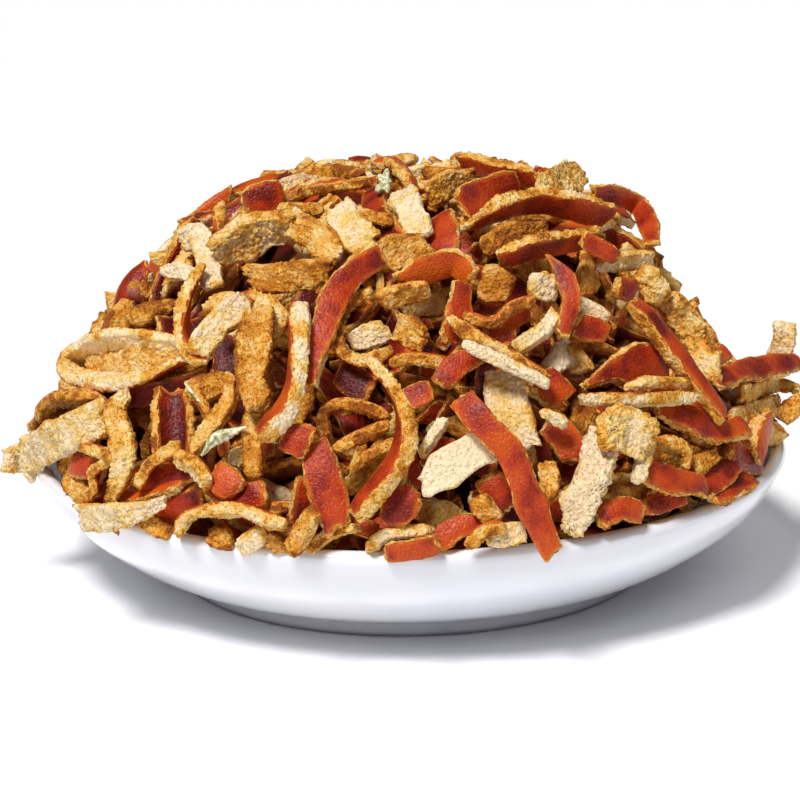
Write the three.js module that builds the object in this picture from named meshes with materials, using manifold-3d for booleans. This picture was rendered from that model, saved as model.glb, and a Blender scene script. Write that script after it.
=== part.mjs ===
// A shallow white dish heaped with strips of dried orange peel.
//
// Millimetres, +Z up. The origin is on the dish's axis, on the plane that its foot ring stands on.
// +X runs to the right of the heap's front, which faces -Y.
//
// The dish is a turned shell with a foot ring. The peel is one solid: a domed heap that fills the
// dish, roughened by the strips on its surface, with the few strips that stick out past it.

import * as THREE from "three";
import { mergeVertices } from "three/addons/utils/BufferGeometryUtils.js";
import Module from "manifold-3d";

// Dish
const RIM_RADIUS = 75;
const DISH_HEIGHT = 25.5;
const WALL = 3.2;
const FLOOR_THICKNESS = 3.4;
const FOOT_RADIUS = 47.2;
const FOOT_HEIGHT = 3;
const FOOT_WIDTH = 3;
const RECESS_DEPTH = 1.8;
const DISH_SEGMENTS = 48;
const SIDE_STEPS = 8;
const LIP_STEPS = 4;

// Heap
const HEAP_HEIGHT = 84;
const DOME_HEIGHT = 78.5;
const SIDE_REACH = 82;
const FRONT_REACH = 79;
const SEAT_GAP = 0.4;
const CORE_INSET = 3;
const CORE_RINGS = 9;
const CORE_SEGMENTS = 24;
const LUMP_DEPTH = 2;

// A strip of peel
const STRIP_WIDTH = 6.5;
const STRIP_THICKNESS = 2.6;
const STRIP_LENGTHS = [16, 38];
const STRIP_STEPS = 3;
const SURFACE_STRIPS = 72;

const PORCELAIN = { color: 0xf1f1f6, roughness: 0.16, metalness: 0 };
const DRIED_PEEL = { color: 0xc4793a, roughness: 0.85, metalness: 0 };

const wasm = await Module();
wasm.setup();

// The dish's outer side as [radius, height], from the top of the foot ring to just under the lip.
function outerSide() {
  const belly = new THREE.SplineCurve([
    new THREE.Vector2(FOOT_RADIUS + 0.4, FOOT_HEIGHT),
    new THREE.Vector2(0.77 * RIM_RADIUS, 0.27 * DISH_HEIGHT),
    new THREE.Vector2(0.9 * RIM_RADIUS, 0.53 * DISH_HEIGHT),
    new THREE.Vector2(0.968 * RIM_RADIUS, 0.75 * DISH_HEIGHT),
    new THREE.Vector2(RIM_RADIUS, DISH_HEIGHT - WALL / 2),
  ]);
  return belly.getPoints(SIDE_STEPS).map((p) => [p.x, p.y]);
}

// The dish's inner side, from under the lip to the middle of the floor, set inwards by a gap.
function innerSide(gap) {
  const well = new THREE.SplineCurve([
    new THREE.Vector2(RIM_RADIUS - WALL, DISH_HEIGHT - WALL / 2),
    new THREE.Vector2(0.91 * RIM_RADIUS, 0.72 * DISH_HEIGHT),
    new THREE.Vector2(0.8 * RIM_RADIUS, 0.47 * DISH_HEIGHT),
    new THREE.Vector2(0.62 * RIM_RADIUS, 0.29 * DISH_HEIGHT),
    new THREE.Vector2(0.4 * RIM_RADIUS, RECESS_DEPTH + FLOOR_THICKNESS),
    new THREE.Vector2(0, RECESS_DEPTH + FLOOR_THICKNESS),
  ]);
  const side = well.getPoints(SIDE_STEPS).map((p) => [p.x - gap, p.y + gap]);
  side[side.length - 1][0] = 0;
  return side;
}

// The half-round lip that joins the two sides.
function lip() {
  const centre = RIM_RADIUS - WALL / 2;
  return Array.from({ length: LIP_STEPS - 1 }, (_, i) => {
    const turn = (Math.PI * (i + 1)) / LIP_STEPS;
    const height = DISH_HEIGHT + (WALL / 2) * (Math.sin(turn) - 1);
    return [centre + (WALL / 2) * Math.cos(turn), height];
  });
}

function turned(profile, segments) {
  const points = profile.map(([radius, height]) => new THREE.Vector2(radius, height));
  return new THREE.LatheGeometry(points, segments).rotateX(Math.PI / 2);
}

function dishGeometry() {
  const inside = FOOT_RADIUS - FOOT_WIDTH;
  const foot = [
    [0, RECESS_DEPTH],
    [inside - 1, RECESS_DEPTH],
    [inside, 0],
    [FOOT_RADIUS - 0.5, 0],
    [FOOT_RADIUS, 0.6],
  ];
  return turned([...foot, ...outerSide(), ...lip(), ...innerSide(0)], DISH_SEGMENTS);
}

// The heap's envelope above the rim, as [radius, share of the height from the rim to the top].
const envelope = new THREE.SplineCurve([
  new THREE.Vector2(0.965 * RIM_RADIUS, 0),
  new THREE.Vector2(0.93 * RIM_RADIUS, 0.16),
  new THREE.Vector2(0.87 * RIM_RADIUS, 0.28),
  new THREE.Vector2(0.7 * RIM_RADIUS, 0.6),
  new THREE.Vector2(0.61 * RIM_RADIUS, 0.77),
  new THREE.Vector2(0.45 * RIM_RADIUS, 0.89),
  new THREE.Vector2(0.24 * RIM_RADIUS, 0.97),
  new THREE.Vector2(0, 1),
]);

// A point on the envelope: share 0 is at the rim and 1 at the top, at an angle round the axis.
function onEnvelope(share, angle) {
  const p = envelope.getPointAt(share);
  const height = DISH_HEIGHT + p.y * (DOME_HEIGHT - DISH_HEIGHT);
  return new THREE.Vector3(p.x * Math.cos(angle), p.x * Math.sin(angle), height);
}

// The envelope's outward direction at a point.
function outward(share, angle) {
  const step = 0.01;
  const low = onEnvelope(Math.max(0, share - step), angle);
  const high = onEnvelope(Math.min(1, share + step), angle);
  const up = high.sub(low).normalize();
  const round = new THREE.Vector3(-Math.sin(angle), Math.cos(angle), 0);
  return round.cross(up).normalize();
}

// A repeatable number from 0 to 1 for a whole number and a channel.
function chance(index, channel) {
  const wave = Math.sin(index * 12.9898 + channel * 78.233) * 43758.5453;
  return wave - Math.floor(wave);
}

function lumps(share, angle) {
  const slow = Math.sin(3 * angle + 5 * share) * Math.cos(7 * share - angle);
  const quick = Math.sin(8 * angle + 11 * share) * Math.sin(13 * share + 1);
  return LUMP_DEPTH * (0.6 * slow + 0.4 * quick);
}

// A closed surface from rings of points, with a pole at each end.
function ringsToGeometry(bottom, rings, top) {
  const count = rings[0].length;
  const points = [bottom, ...rings.flat(), top];
  const last = points.length - 1;
  const faces = [];
  for (let j = 0; j < count; j++) {
    const next = (j + 1) % count;
    faces.push(0, 1 + next, 1 + j);
    for (let i = 0; i + 1 < rings.length; i++) {
      const [a, b] = [1 + i * count + j, 1 + i * count + next];
      faces.push(a, b, a + count, b, b + count, a + count);
    }
    const high = 1 + (rings.length - 1) * count;
    faces.push(last, high + j, high + next);
  }
  const geometry = new THREE.BufferGeometry().setFromPoints(points);
  return geometry.setIndex(faces);
}

// The heap without its loose strips: it follows the well of the dish, then the lumpy envelope.
function coreGeometry() {
  const ring = (radiusAt) =>
    Array.from({ length: CORE_SEGMENTS }, (_, j) => radiusAt((2 * Math.PI * j) / CORE_SEGMENTS));
  const well = innerSide(SEAT_GAP).reverse();
  const buried = well
    .filter(([radius], i) => i % 2 === 0 && radius > 5)
    .map(([radius, height]) =>
      ring((a) => new THREE.Vector3(radius * Math.cos(a), radius * Math.sin(a), height)),
    );
  const shown = Array.from({ length: CORE_RINGS }, (_, i) => {
    const share = (i / CORE_RINGS) * 0.97;
    return ring((a) => {
      const depth = CORE_INSET - (share > 0 ? lumps(share, a) : 0);
      return onEnvelope(share, a).addScaledVector(outward(share, a), -depth);
    });
  });
  const bottom = new THREE.Vector3(0, 0, well[0][1]);
  const top = new THREE.Vector3(0, 0, DOME_HEIGHT - CORE_INSET);
  return ringsToGeometry(bottom, [...buried, ...shown], top);
}

// A flat strip bent along a curve. Its broad face looks towards `face`, and it turns by `twist`.
function stripGeometry(curve, face, width, twist) {
  const corners = [[-1, -1], [1, -1], [1, 1], [-1, 1]];
  const rings = Array.from({ length: STRIP_STEPS + 1 }, (_, i) => {
    const t = i / STRIP_STEPS;
    const along = curve.getTangentAt(t);
    const across = new THREE.Vector3().crossVectors(face, along).normalize();
    across.applyAxisAngle(along, twist * (t - 0.5));
    const out = new THREE.Vector3().crossVectors(along, across);
    const taper = i === 0 || i === STRIP_STEPS ? 0.82 : 1;
    return corners.map(([u, v]) =>
      curve
        .getPointAt(t)
        .addScaledVector(across, (u * width * taper) / 2)
        .addScaledVector(out, (v * STRIP_THICKNESS) / 2),
    );
  });
  const middle = (ring) => ring.reduce((s, p) => s.add(p), new THREE.Vector3()).divideScalar(4);
  return ringsToGeometry(middle(rings[0]), rings, middle(rings[STRIP_STEPS]));
}

// Strip `index` of those that lie on the heap, spread evenly from the rim to the top.
function surfaceStrip(index) {
  const goldenAngle = Math.PI * (3 - Math.sqrt(5));
  const share = 0.03 + 0.95 * (1 - Math.sqrt(1 - (index + 0.5) / SURFACE_STRIPS));
  const angle = index * goldenAngle;
  const normal = outward(share, angle);
  const heading = new THREE.Vector3(-Math.sin(angle), Math.cos(angle), 0);
  heading.applyAxisAngle(normal, Math.PI * chance(index, 1));
  const [shortest, longest] = STRIP_LENGTHS;
  const half = (shortest + (longest - shortest) * chance(index, 2)) / 2;
  const centre = onEnvelope(share, angle).addScaledVector(normal, -STRIP_THICKNESS / 2);
  const lean = (chance(index, 3) - 0.5) * 0.5;
  const tip = heading.clone().addScaledVector(normal, lean).multiplyScalar(half);
  const bow = normal.clone().multiplyScalar(0.16 * half * (chance(index, 4) + 0.4));
  const curve = new THREE.QuadraticBezierCurve3(
    centre.clone().sub(tip),
    centre.clone().addScaledVector(bow, 2),
    centre.clone().add(tip),
  );
  const width = STRIP_WIDTH * (0.7 + 0.6 * chance(index, 5));
  return stripGeometry(curve, normal, width, 1.4 * (chance(index, 6) - 0.5));
}

// The strips that reach past the heap: the points that each one follows, and where its face looks.
const REACHING_STRIPS = [
  { face: [0, -0.5, 1], path: [[-58, -2, 33], [-70, -4, 34], [-SIDE_REACH, -3, 30]] },
  { face: [0, -1, 0.6], path: [[-57, 10, 33], [-68, 12, 37], [-76, 12, 38]] },
  { face: [0.2, -0.8, 0.3], path: [[-48, -14, 48], [-68, -14, 47], [-50, -24, 41]] },
  { face: [0, -1, 0.3], path: [[58, 8, 38], [70, 6, 41], [SIDE_REACH, 5, 42]] },
  { face: [0, -1, 0.3], path: [[58, -12, 31], [68, -14, 31], [79, -14, 33]] },
  { face: [0.2, -1, 0.2], path: [[62, 4, 34], [70, 3, 41], [74, 2, 49]] },
  { face: [0.3, -1, 0.6], path: [[20, 6, 73], [42, 4, 74], [50, 2, 65]] },
  { face: [0, -0.6, 1], path: [[5, 12, 80], [18, 12, 79], [38, 12, 74]] },
  { face: [0, -1, 0.4], path: [[-6, 10, 72], [-4, 12, 81], [1, 10, 79]] },
  { face: [0.2, -1, 0.2], path: [[-27, 14, 68], [-28, 14, 73], [-28, 15, 78]] },
  { face: [0, -0.5, 1], path: [[12, -56, 43], [18, -68, 33], [27, -FRONT_REACH, 27.6]] },
  { face: [0, 0.5, 1], path: [[-20, 56, 42], [-24, 68, 34], [-30, FRONT_REACH, 28]] },
  { face: [0, 0.5, 1], path: [[30, 50, 43], [36, 62, 34], [40, 70, 29]] },
];

function reachingStrip({ face, path }) {
  const curve = new THREE.CatmullRomCurve3(path.map((p) => new THREE.Vector3(...p)));
  return stripGeometry(curve, new THREE.Vector3(...face).normalize(), STRIP_WIDTH, 0.3);
}

// The space that peel may fill: the well of the dish, and everything above the rim's own top.
function roomGeometry() {
  const overRim = DISH_HEIGHT + SEAT_GAP;
  const well = innerSide(SEAT_GAP).reverse();
  const outline = [
    ...well,
    [RIM_RADIUS - WALL - SEAT_GAP, overRim],
    [1.6 * RIM_RADIUS, overRim],
    [1.6 * RIM_RADIUS, HEAP_HEIGHT],
    [0, HEAP_HEIGHT],
  ];
  return turned(outline, DISH_SEGMENTS);
}

// manifold-3d's solid of a closed geometry.
function toSolid(geometry) {
  const bare = new THREE.BufferGeometry();
  bare.setAttribute("position", geometry.getAttribute("position"));
  bare.setIndex(geometry.getIndex());
  const merged = mergeVertices(bare, 1e-4);
  const mesh = new wasm.Mesh({
    numProp: 3,
    vertProperties: merged.attributes.position.array,
    triVerts: new Uint32Array(merged.index.array),
  });
  return new wasm.Manifold(mesh);
}

function fromSolid(solid) {
  const { vertProperties, triVerts } = solid.getMesh();
  const geometry = new THREE.BufferGeometry();
  geometry.setAttribute("position", new THREE.BufferAttribute(vertProperties, 3));
  return geometry.setIndex(new THREE.BufferAttribute(triVerts, 1));
}

function heapGeometry() {
  const onSurface = Array.from({ length: SURFACE_STRIPS }, (_, i) => surfaceStrip(i));
  const strips = [...onSurface, ...REACHING_STRIPS.map(reachingStrip)];
  const piled = wasm.Manifold.union([toSolid(coreGeometry()), ...strips.map(toSolid)]);
  const pieces = piled.intersect(toSolid(roomGeometry())).decompose();
  return fromSolid(pieces.sort((a, b) => b.volume() - a.volume())[0]);
}

function named(name, geometry, look) {
  const mesh = new THREE.Mesh(geometry, new THREE.MeshStandardMaterial(look));
  mesh.name = name;
  return mesh;
}

const peelDish = new THREE.Group();
peelDish.add(named("dish", dishGeometry(), PORCELAIN));
peelDish.add(named("peel_heap", heapGeometry(), DRIED_PEEL));

export default peelDish;
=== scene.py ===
"""A shallow white dish heaped with strips of dried orange peel.

The dish is a turned shell with a foot ring. The heap is made of separate strips, joined into one
mesh for each kind, over a small core coloured near-black as painted shade. Strips that show at
the front are laid one by one, as the viewer sees them; the rest are strewn in layers and pushed
apart until they only touch.
Sizes are in millimetres here and become metres when a mesh is made.
"""

import logging
import math
from dataclasses import dataclass, field
from enum import Enum
from typing import Callable, Iterator, Sequence

import bmesh
import bpy
import numpy as np
from mathutils import Matrix, Vector


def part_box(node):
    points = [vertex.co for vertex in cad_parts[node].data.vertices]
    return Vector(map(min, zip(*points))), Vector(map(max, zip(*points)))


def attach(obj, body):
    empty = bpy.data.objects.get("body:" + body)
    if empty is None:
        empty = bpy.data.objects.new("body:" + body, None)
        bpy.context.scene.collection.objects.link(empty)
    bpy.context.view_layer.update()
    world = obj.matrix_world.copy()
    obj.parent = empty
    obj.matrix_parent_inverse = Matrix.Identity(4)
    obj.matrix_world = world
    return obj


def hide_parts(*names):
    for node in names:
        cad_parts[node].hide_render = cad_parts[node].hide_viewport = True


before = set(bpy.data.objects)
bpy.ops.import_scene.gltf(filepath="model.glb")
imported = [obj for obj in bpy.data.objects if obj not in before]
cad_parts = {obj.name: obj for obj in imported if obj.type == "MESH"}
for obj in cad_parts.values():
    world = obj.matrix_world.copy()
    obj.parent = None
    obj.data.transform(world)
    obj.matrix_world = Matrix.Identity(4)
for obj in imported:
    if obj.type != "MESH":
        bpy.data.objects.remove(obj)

MM = 0.001
LOG = logging.getLogger("peel_dish")

Array = np.ndarray
Knots = Sequence[tuple[float, ...]]


def unit(vectors: Array) -> Array:
    """Scales vectors to length one.

    Args:
        vectors: Vectors along the last axis.

    Returns:
        The same directions with length one.
    """
    length = np.linalg.norm(vectors, axis=-1, keepdims=True)
    return vectors / np.maximum(length, 1e-9)


def blend(low: float, high: float, value: Array) -> Array:
    """Goes smoothly from 0 at `low` to 1 at `high`.

    Args:
        low: Where the blend starts.
        high: Where the blend ends; it may be less than `low`.
        value: The numbers to blend.

    Returns:
        A number from 0 to 1 for each value.
    """
    share = np.clip((value - low) / (high - low), 0.0, 1.0)
    return share * share * (3.0 - 2.0 * share)


def through(knots: Array, count: int) -> Array:
    """Follows a smooth curve through knots at an even pace.

    Args:
        knots: Points that the curve passes through, one a row.
        count: How many points to give back.

    Returns:
        Points evenly spaced along the curve.
    """
    padded = np.vstack([2 * knots[0] - knots[1], knots, 2 * knots[-1] - knots[-2]])
    pieces = []
    for index in range(len(knots) - 1):
        a, b, c, d = padded[index : index + 4]
        t = np.linspace(0.0, 1.0, 12, endpoint=False)[:, None]
        curve = 2 * b + (c - a) * t + (2 * a - 5 * b + 4 * c - d) * t**2
        pieces.append(0.5 * (curve + (3 * b - a - 3 * c + d) * t**3))
    dense = np.vstack(pieces + [knots[-1:]])
    travelled = np.concatenate([[0.0], np.cumsum(np.linalg.norm(np.diff(dense, axis=0), axis=1))])
    places = np.linspace(0.0, travelled[-1], count)
    return np.column_stack([np.interp(places, travelled, dense[:, k]) for k in range(dense.shape[1])])


def add_object(name: str, data: bpy.types.ID) -> bpy.types.Object:
    """Adds an object at the scene's origin.

    Args:
        name: The object's name.
        data: Its mesh, lamp or camera.

    Returns:
        The object.
    """
    added = bpy.data.objects.new(name, data)
    bpy.context.scene.collection.objects.link(added)
    return added


def add_piece(name: str, mesh: bmesh.types.BMesh, material: bpy.types.Material) -> bpy.types.Object:
    """Adds a finished bmesh as an object and frees it.

    Args:
        name: The piece's name.
        mesh: Its shape, in metres.
        material: Its finish.

    Returns:
        The piece.
    """
    data = bpy.data.meshes.new(name)
    mesh.to_mesh(data)
    mesh.free()
    data.materials.append(material)
    return add_object(name, data)


class Grain:
    """Repeatable noise over points in space, for the relief of peel."""

    SIDE = 32

    def __init__(self, seed: int) -> None:
        """Fills the lattice that the noise is read from.

        Args:
            seed: Which lattice to make.
        """
        rng = np.random.default_rng(seed)
        self.heights = rng.random((self.SIDE,) * 3)
        self.seeds = rng.random((self.SIDE,) * 3 + (3,))

    def smooth(self, points: Array, size: float) -> Array:
        """Reads smooth noise.

        Args:
            points: Points in millimetres, one a row.
            size: How wide one bump is.

        Returns:
            A number from -1 to 1 for each point.
        """
        cell = np.floor(points / size).astype(int)
        part = points / size - cell
        part = part * part * (3.0 - 2.0 * part)
        total = np.zeros(len(points))
        for corner in np.ndindex(2, 2, 2):
            at = (cell + corner) % self.SIDE
            weight = np.prod(np.where(corner, part, 1.0 - part), axis=1)
            total += weight * self.heights[at[:, 0], at[:, 1], at[:, 2]]
        return 2.0 * total - 1.0

    def granules(self, points: Array, size: float) -> Array:
        """Reads a surface of packed round granules.

        Args:
            points: Points in millimetres, one a row.
            size: How wide one granule is.

        Returns:
            A number for each point: 1 on top of a granule, 0 in the creases between them.
        """
        scaled = points / size
        cell = np.floor(scaled).astype(int)
        nearest = np.full(len(points), 9.0)
        second = nearest.copy()
        for step in np.ndindex(3, 3, 3):
            at = cell + np.array(step) - 1
            held = at % self.SIDE
            seed = at + self.seeds[held[:, 0], held[:, 1], held[:, 2]]
            away = ((scaled - seed) ** 2).sum(axis=1)
            second = np.minimum(second, np.maximum(nearest, away))
            nearest = np.minimum(nearest, away)
        return 1.0 - nearest / second


@dataclass(frozen=True)
class Viewpoint:
    """Where the dish is looked at from.

    Attributes:
        elevation: Degrees above the table.
        roll: Degrees that the picture is turned, anticlockwise.
        distance: From the dish's foot, in millimetres.
        lens: In millimetres, on a sensor 36 mm wide.
        aim: Where the middle of the view falls on the plane through the dish's foot that faces
            the viewer: millimetres across and up.
    """

    elevation: float = 18.0
    roll: float = -1.0
    distance: float = 700.0
    lens: float = 155.3
    aim: tuple[float, float] = (-1.3, 32.5)

    @property
    def eye(self) -> Array:
        """The camera's place in millimetres."""
        angle = math.radians(self.elevation)
        return self.distance * np.array([0.0, -math.cos(angle), math.sin(angle)])

    def plane_point(self, across: float, up: float) -> Array:
        """Finds a point of the plane through the dish's foot that faces the viewer.

        Args:
            across: Millimetres to the viewer's right.
            up: Millimetres up the plane.

        Returns:
            The point in millimetres.
        """
        angle, roll = math.radians(self.elevation), math.radians(self.roll)
        right = np.array([1.0, 0.0, 0.0])
        top = np.array([0.0, math.sin(angle), math.cos(angle)])
        turned_right = math.cos(roll) * right - math.sin(roll) * top
        turned_top = math.sin(roll) * right + math.cos(roll) * top
        return across * turned_right + up * turned_top

    def place_camera(self) -> bpy.types.Object:
        """Makes the scene's camera.

        Returns:
            The camera object.
        """
        data = bpy.data.cameras.new("viewer")
        data.lens = self.lens
        data.sensor_width = 36.0
        data.clip_start = 0.01
        camera = add_object("viewer", data)
        eye = Vector(self.eye) * MM
        look = Vector(self.plane_point(*self.aim)) * MM - eye
        turn = look.to_track_quat("-Z", "Y").to_matrix().to_4x4()
        tilt = Matrix.Rotation(math.radians(self.roll), 4, "Z")
        camera.matrix_world = Matrix.Translation(eye) @ turn @ tilt
        bpy.context.scene.camera = camera
        return camera


@dataclass(frozen=True)
class HeapShape:
    """The heap's outline: how far it reaches from a centre in the plane of the dish's rim.

    Attributes:
        rim_radius: The dish's radius.
        rim_height: The height of the dish's rim.
        dome_height: The height of the heap's top, without the strips that stick up.
        lean: How much fuller the heap's left flank is than its right.
        lean_at: Degrees above the rim's plane where that shows most.
        lean_span: Over how many degrees it fades.
    """

    rim_radius: float
    rim_height: float
    dome_height: float
    lean: float = 0.035
    lean_at: float = 20.0
    lean_span: float = 14.0

    DOME_SHARE = 0.932
    STEEPNESS = 0.95
    OUTLINE = ((0.0, 0.955), (9.3, 0.945), (21.6, 0.89), (34.7, 0.845), (45.0, 0.83), (54.0, 0.816))
    CROWN = ((69.0, 0.745), (90.0, 0.7))

    @classmethod
    def from_frame(cls) -> "HeapShape":
        """Reads the heap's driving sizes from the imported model.

        Returns:
            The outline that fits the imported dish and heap.
        """
        dish_low, dish_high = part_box("dish")
        _, heap_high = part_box("peel_heap")
        radius = (dish_high[0] - dish_low[0]) / 2 / MM
        return cls(radius, dish_high[2] / MM, cls.DOME_SHARE * heap_high[2] / MM)

    def reach(self, directions: Array) -> Array:
        """Finds how far the heap reaches in some directions.

        Args:
            directions: Unit vectors from the centre, one a row.

        Returns:
            Millimetres from the centre for each direction.
        """
        rise = np.degrees(np.arcsin(np.clip(directions[:, 2], -1.0, 1.0)))
        scale = (self.dome_height - self.rim_height) / (self.CROWN[-1][1] * self.rim_radius)
        table = np.array(self.OUTLINE + self.CROWN)
        shares = table[:, 1] * (1.0 + (scale - 1.0) * np.sin(np.radians(table[:, 0])))
        reach = self.rim_radius * np.interp(rise, table[:, 0], shares)
        side = directions[:, 0] / np.maximum(np.hypot(directions[:, 0], directions[:, 1]), 1e-6)
        fade = np.exp(-(((rise - self.lean_at) / self.lean_span) ** 2))
        return reach * (1.0 - self.lean * side * fade)

    def outside(self, points: Array) -> Array:
        """Finds how far points are outside the outline.

        Args:
            points: Points in millimetres, one a row.

        Returns:
            Millimetres outside for each point, negative inside.
        """
        arms = points - np.array([0.0, 0.0, self.rim_height])
        length = np.linalg.norm(arms, axis=1)
        return self.STEEPNESS * (length - self.reach(unit(arms)))

    def first_met(self, eye: Array, target: Array, proud: float) -> Array:
        """Follows a line of sight to the heap.

        Args:
            eye: Where the line starts.
            target: A point on the line.
            proud: How far outside the outline to stop.

        Returns:
            The first point that is no further outside than `proud`, or the point closest to the
            heap on a line that misses it.
        """
        direction = unit(target - eye)
        middle = float(np.dot(-eye, direction))
        ways = np.linspace(middle - 1.5 * self.rim_radius, middle + 0.6 * self.rim_radius, 500)
        points = eye + ways[:, None] * direction
        gap = self.outside(points) - proud
        inside = np.flatnonzero(gap <= 0.0)
        index = inside[0] if len(inside) else int(np.argmin(gap))
        return points[index]

    def place(self, turn: float, rise: float, depth: float) -> tuple[Array, Array]:
        """Finds a place under the heap's surface.

        Args:
            turn: The angle round the axis, in radians.
            rise: The angle above the plane of the rim, in radians.
            depth: Millimetres under the surface.

        Returns:
            The point, and the direction straight out of the heap there.
        """
        flat = math.cos(rise)
        direction = np.array([flat * math.cos(turn), flat * math.sin(turn), math.sin(rise)])
        reach = float(self.reach(direction[None])[0])
        return direction * (reach - depth) + np.array([0.0, 0.0, self.rim_height]), direction


class Kind(Enum):
    """The kinds of piece in the heap, each made as one mesh."""

    LONG = "long_strips"
    SHORT = "short_strips"
    BROAD = "broad_pieces"
    EDGE = "cut_slivers"
    LOOSE_LONG = "loose_long_strips"
    LOOSE_MIDDLING = "loose_middling_strips"
    LOOSE_SHORT = "loose_short_strips"
    BURIED = "buried_strips"
    CRUMB = "peel_crumbs"
    FIBRE = "green_fibres"


class Shade(Enum):
    """What a strip looks like.

    The numbers are its rind's tone, from orange at 0 to darkest at 1, its pith's tone, from white
    at 0 or less to brown at 1, and how full of dark pores its pith is, from 0 to 1. One shade
    is a near-black red, painted shade for strips that lie in shadow.
    """

    RED = (0.5, 0.4, 0.5)
    BURGUNDY = (0.68, 0.45, 0.5)
    ORANGE = (0.0, 0.5, 0.6)
    WHITE = (0.5, -0.25, 0.0)
    CHALK = (0.5, -0.22, 0.5)
    CREAM = (0.45, 0.12, 0.3)
    YELLOW = (0.4, 0.38, 0.5)
    TAN = (0.35, 0.6, 1.0)
    BROWN = (0.7, 0.95, 0.9)
    # Painted shade: a near-black red for strips that lie in shadow.
    PAINTED_SHADE = (0.92, 0.6, 0.5)
    GREEN = (0.0, 0.0, 0.0)


@dataclass
class Strip:
    """One strip of peel.

    Attributes:
        path: The points along its middle, one a row.
        rind: The way that its rind faces at each of those points.
        width: Across the strip.
        thickness: From rind to pith.
        shade: The tones of its rind and its pith, and how full of pores it is, as in Shade.
        kind: The piece that it is part of.
        ends: Its width at each end as a share of its width.
        cup: How far its section curls, in radians; positive has the rind outside.
        slant: How obliquely each end is cut.
        knob: How high the lumps of its pith are, in millimetres.
        taper: The share of its length over which an end narrows.
        laid: Whether it was laid one by one, so it moves only towards or away from the viewer.
    """

    path: Array
    rind: Array
    width: float
    thickness: float
    shade: tuple[float, float, float]
    kind: Kind
    ends: tuple[float, float] = (0.85, 0.85)
    cup: float = 0.0
    slant: tuple[float, float] = (0.0, 0.0)
    knob: float = 0.3
    taper: float = 0.32
    laid: bool = False

    BEAD_SPACING = 2.3
    NARROW = 3.6

    @property
    def length(self) -> float:
        """The length of the strip's middle line."""
        return float(np.linalg.norm(np.diff(self.path, axis=0), axis=1).sum())

    def axes(self) -> tuple[Array, Array, Array]:
        """Works out the strip's own directions.

        Returns:
            Its heading, its sideways direction and its rind's direction at each point.
        """
        along = unit(np.gradient(self.path, axis=0))
        rind = unit(self.rind - (self.rind * along).sum(axis=1, keepdims=True) * along)
        return along, np.cross(rind, along), rind

    def beads(self) -> tuple[Array, float]:
        """Stands beads in for the strip, for pushing strips apart.

        Returns:
            The beads' centres and their radius.
        """
        _, aside, _ = self.axes()
        count = max(3, round(self.length / self.BEAD_SPACING))
        pick = np.linspace(0, len(self.path) - 1, count).round().astype(int)
        radius = 0.5 * max(self.thickness, 0.42 * self.width)
        if self.width < self.NARROW:
            return self.path[pick], radius
        shift = aside[pick] * (self.width / 2 - 0.9 * radius)
        return np.vstack([self.path[pick] + shift, self.path[pick] - shift]), radius

    def move(self, turn: Array, shift: Array) -> None:
        """Turns the strip about its middle and shifts it.

        Args:
            turn: A rotation matrix.
            shift: Millimetres along each axis.
        """
        middle = self.path.mean(axis=0)
        self.path = (self.path - middle) @ turn.T + middle + shift
        self.rind = self.rind @ turn.T


@dataclass(frozen=True)
class Laid:
    """A strip that shows at the front, described as the viewer sees it.

    Attributes:
        knots: Points along it: millimetres across and up, on the plane that faces the viewer.
        width: Across the strip.
        turn: Degrees that the rind is turned from the viewer at its start and end: 0 shows the
            rind, 180 the pith, and 90 has the rind on the left of the strip's own heading.
        shade: What it looks like.
        proud: Millimetres that it stands out of the heap along its length.
        thick: From rind to pith.
        ends: Its width at each end as a share of its width.
        cup: How far its section curls; positive has the rind outside.
        knob: How high the lumps of its pith are.
        taper: The share of its length over which an end narrows.
    """

    knots: Knots
    width: float
    turn: tuple[float, ...]
    shade: Shade
    proud: tuple[float, ...] = (0.0, 0.0)
    thick: float = 2.4
    ends: tuple[float, float] = (0.85, 0.85)
    cup: float = 0.35
    knob: float = 0.3
    taper: float = 0.32

    STEPS = 33
    SLIVER_WIDTH = 3.2
    BROAD_WIDTH = 6.4
    LONG_LENGTH = 19.0

    def build(self, shape: HeapShape, view: Viewpoint, rng: np.random.Generator) -> Strip:
        """Finds the strip's place in space.

        Args:
            shape: The heap that it lies on.
            view: Where it is seen from.
            rng: For the small differences between strips.

        Returns:
            The strip.
        """
        steps = np.linspace(0.0, 1.0, len(self.knots))
        proud = np.interp(steps, np.linspace(0.0, 1.0, len(self.proud)), self.proud)
        found = [
            shape.first_met(view.eye, view.plane_point(*knot), float(lift))
            for knot, lift in zip(self.knots, proud)
        ]
        path = through(np.array(found), self.STEPS)
        along = unit(np.gradient(path, axis=0))
        to_eye = unit(view.eye - path)
        facing = unit(to_eye - (to_eye * along).sum(axis=1, keepdims=True) * along)
        turn = np.interp(np.linspace(0, 1, self.STEPS), np.linspace(0, 1, len(self.turn)), self.turn)
        turn = np.radians(turn)
        rind = np.cos(turn)[:, None] * facing + np.sin(turn)[:, None] * np.cross(facing, along)
        length = float(np.linalg.norm(np.diff(path, axis=0), axis=1).sum())
        return Strip(
            path,
            rind,
            width=self.width,
            thickness=self.thick,
            shade=tuple(np.array(self.shade.value) + rng.normal(0.0, 0.05, 3)),
            kind=self.kind(length),
            ends=self.ends,
            cup=self.cup,
            slant=tuple(rng.uniform(-0.3, 0.3, 2)),
            knob=self.knob,
            taper=self.taper,
            laid=True,
        )

    def kind(self, length: float) -> Kind:
        """Tells which piece the strip is part of.

        Args:
            length: The strip's length in space.

        Returns:
            The kind of piece.
        """
        if self.shade is Shade.GREEN:
            return Kind.FIBRE
        if self.width < self.SLIVER_WIDTH:
            return Kind.EDGE
        if self.width > self.BROAD_WIDTH:
            return Kind.BROAD
        return Kind.LONG if length > self.LONG_LENGTH else Kind.SHORT


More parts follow.
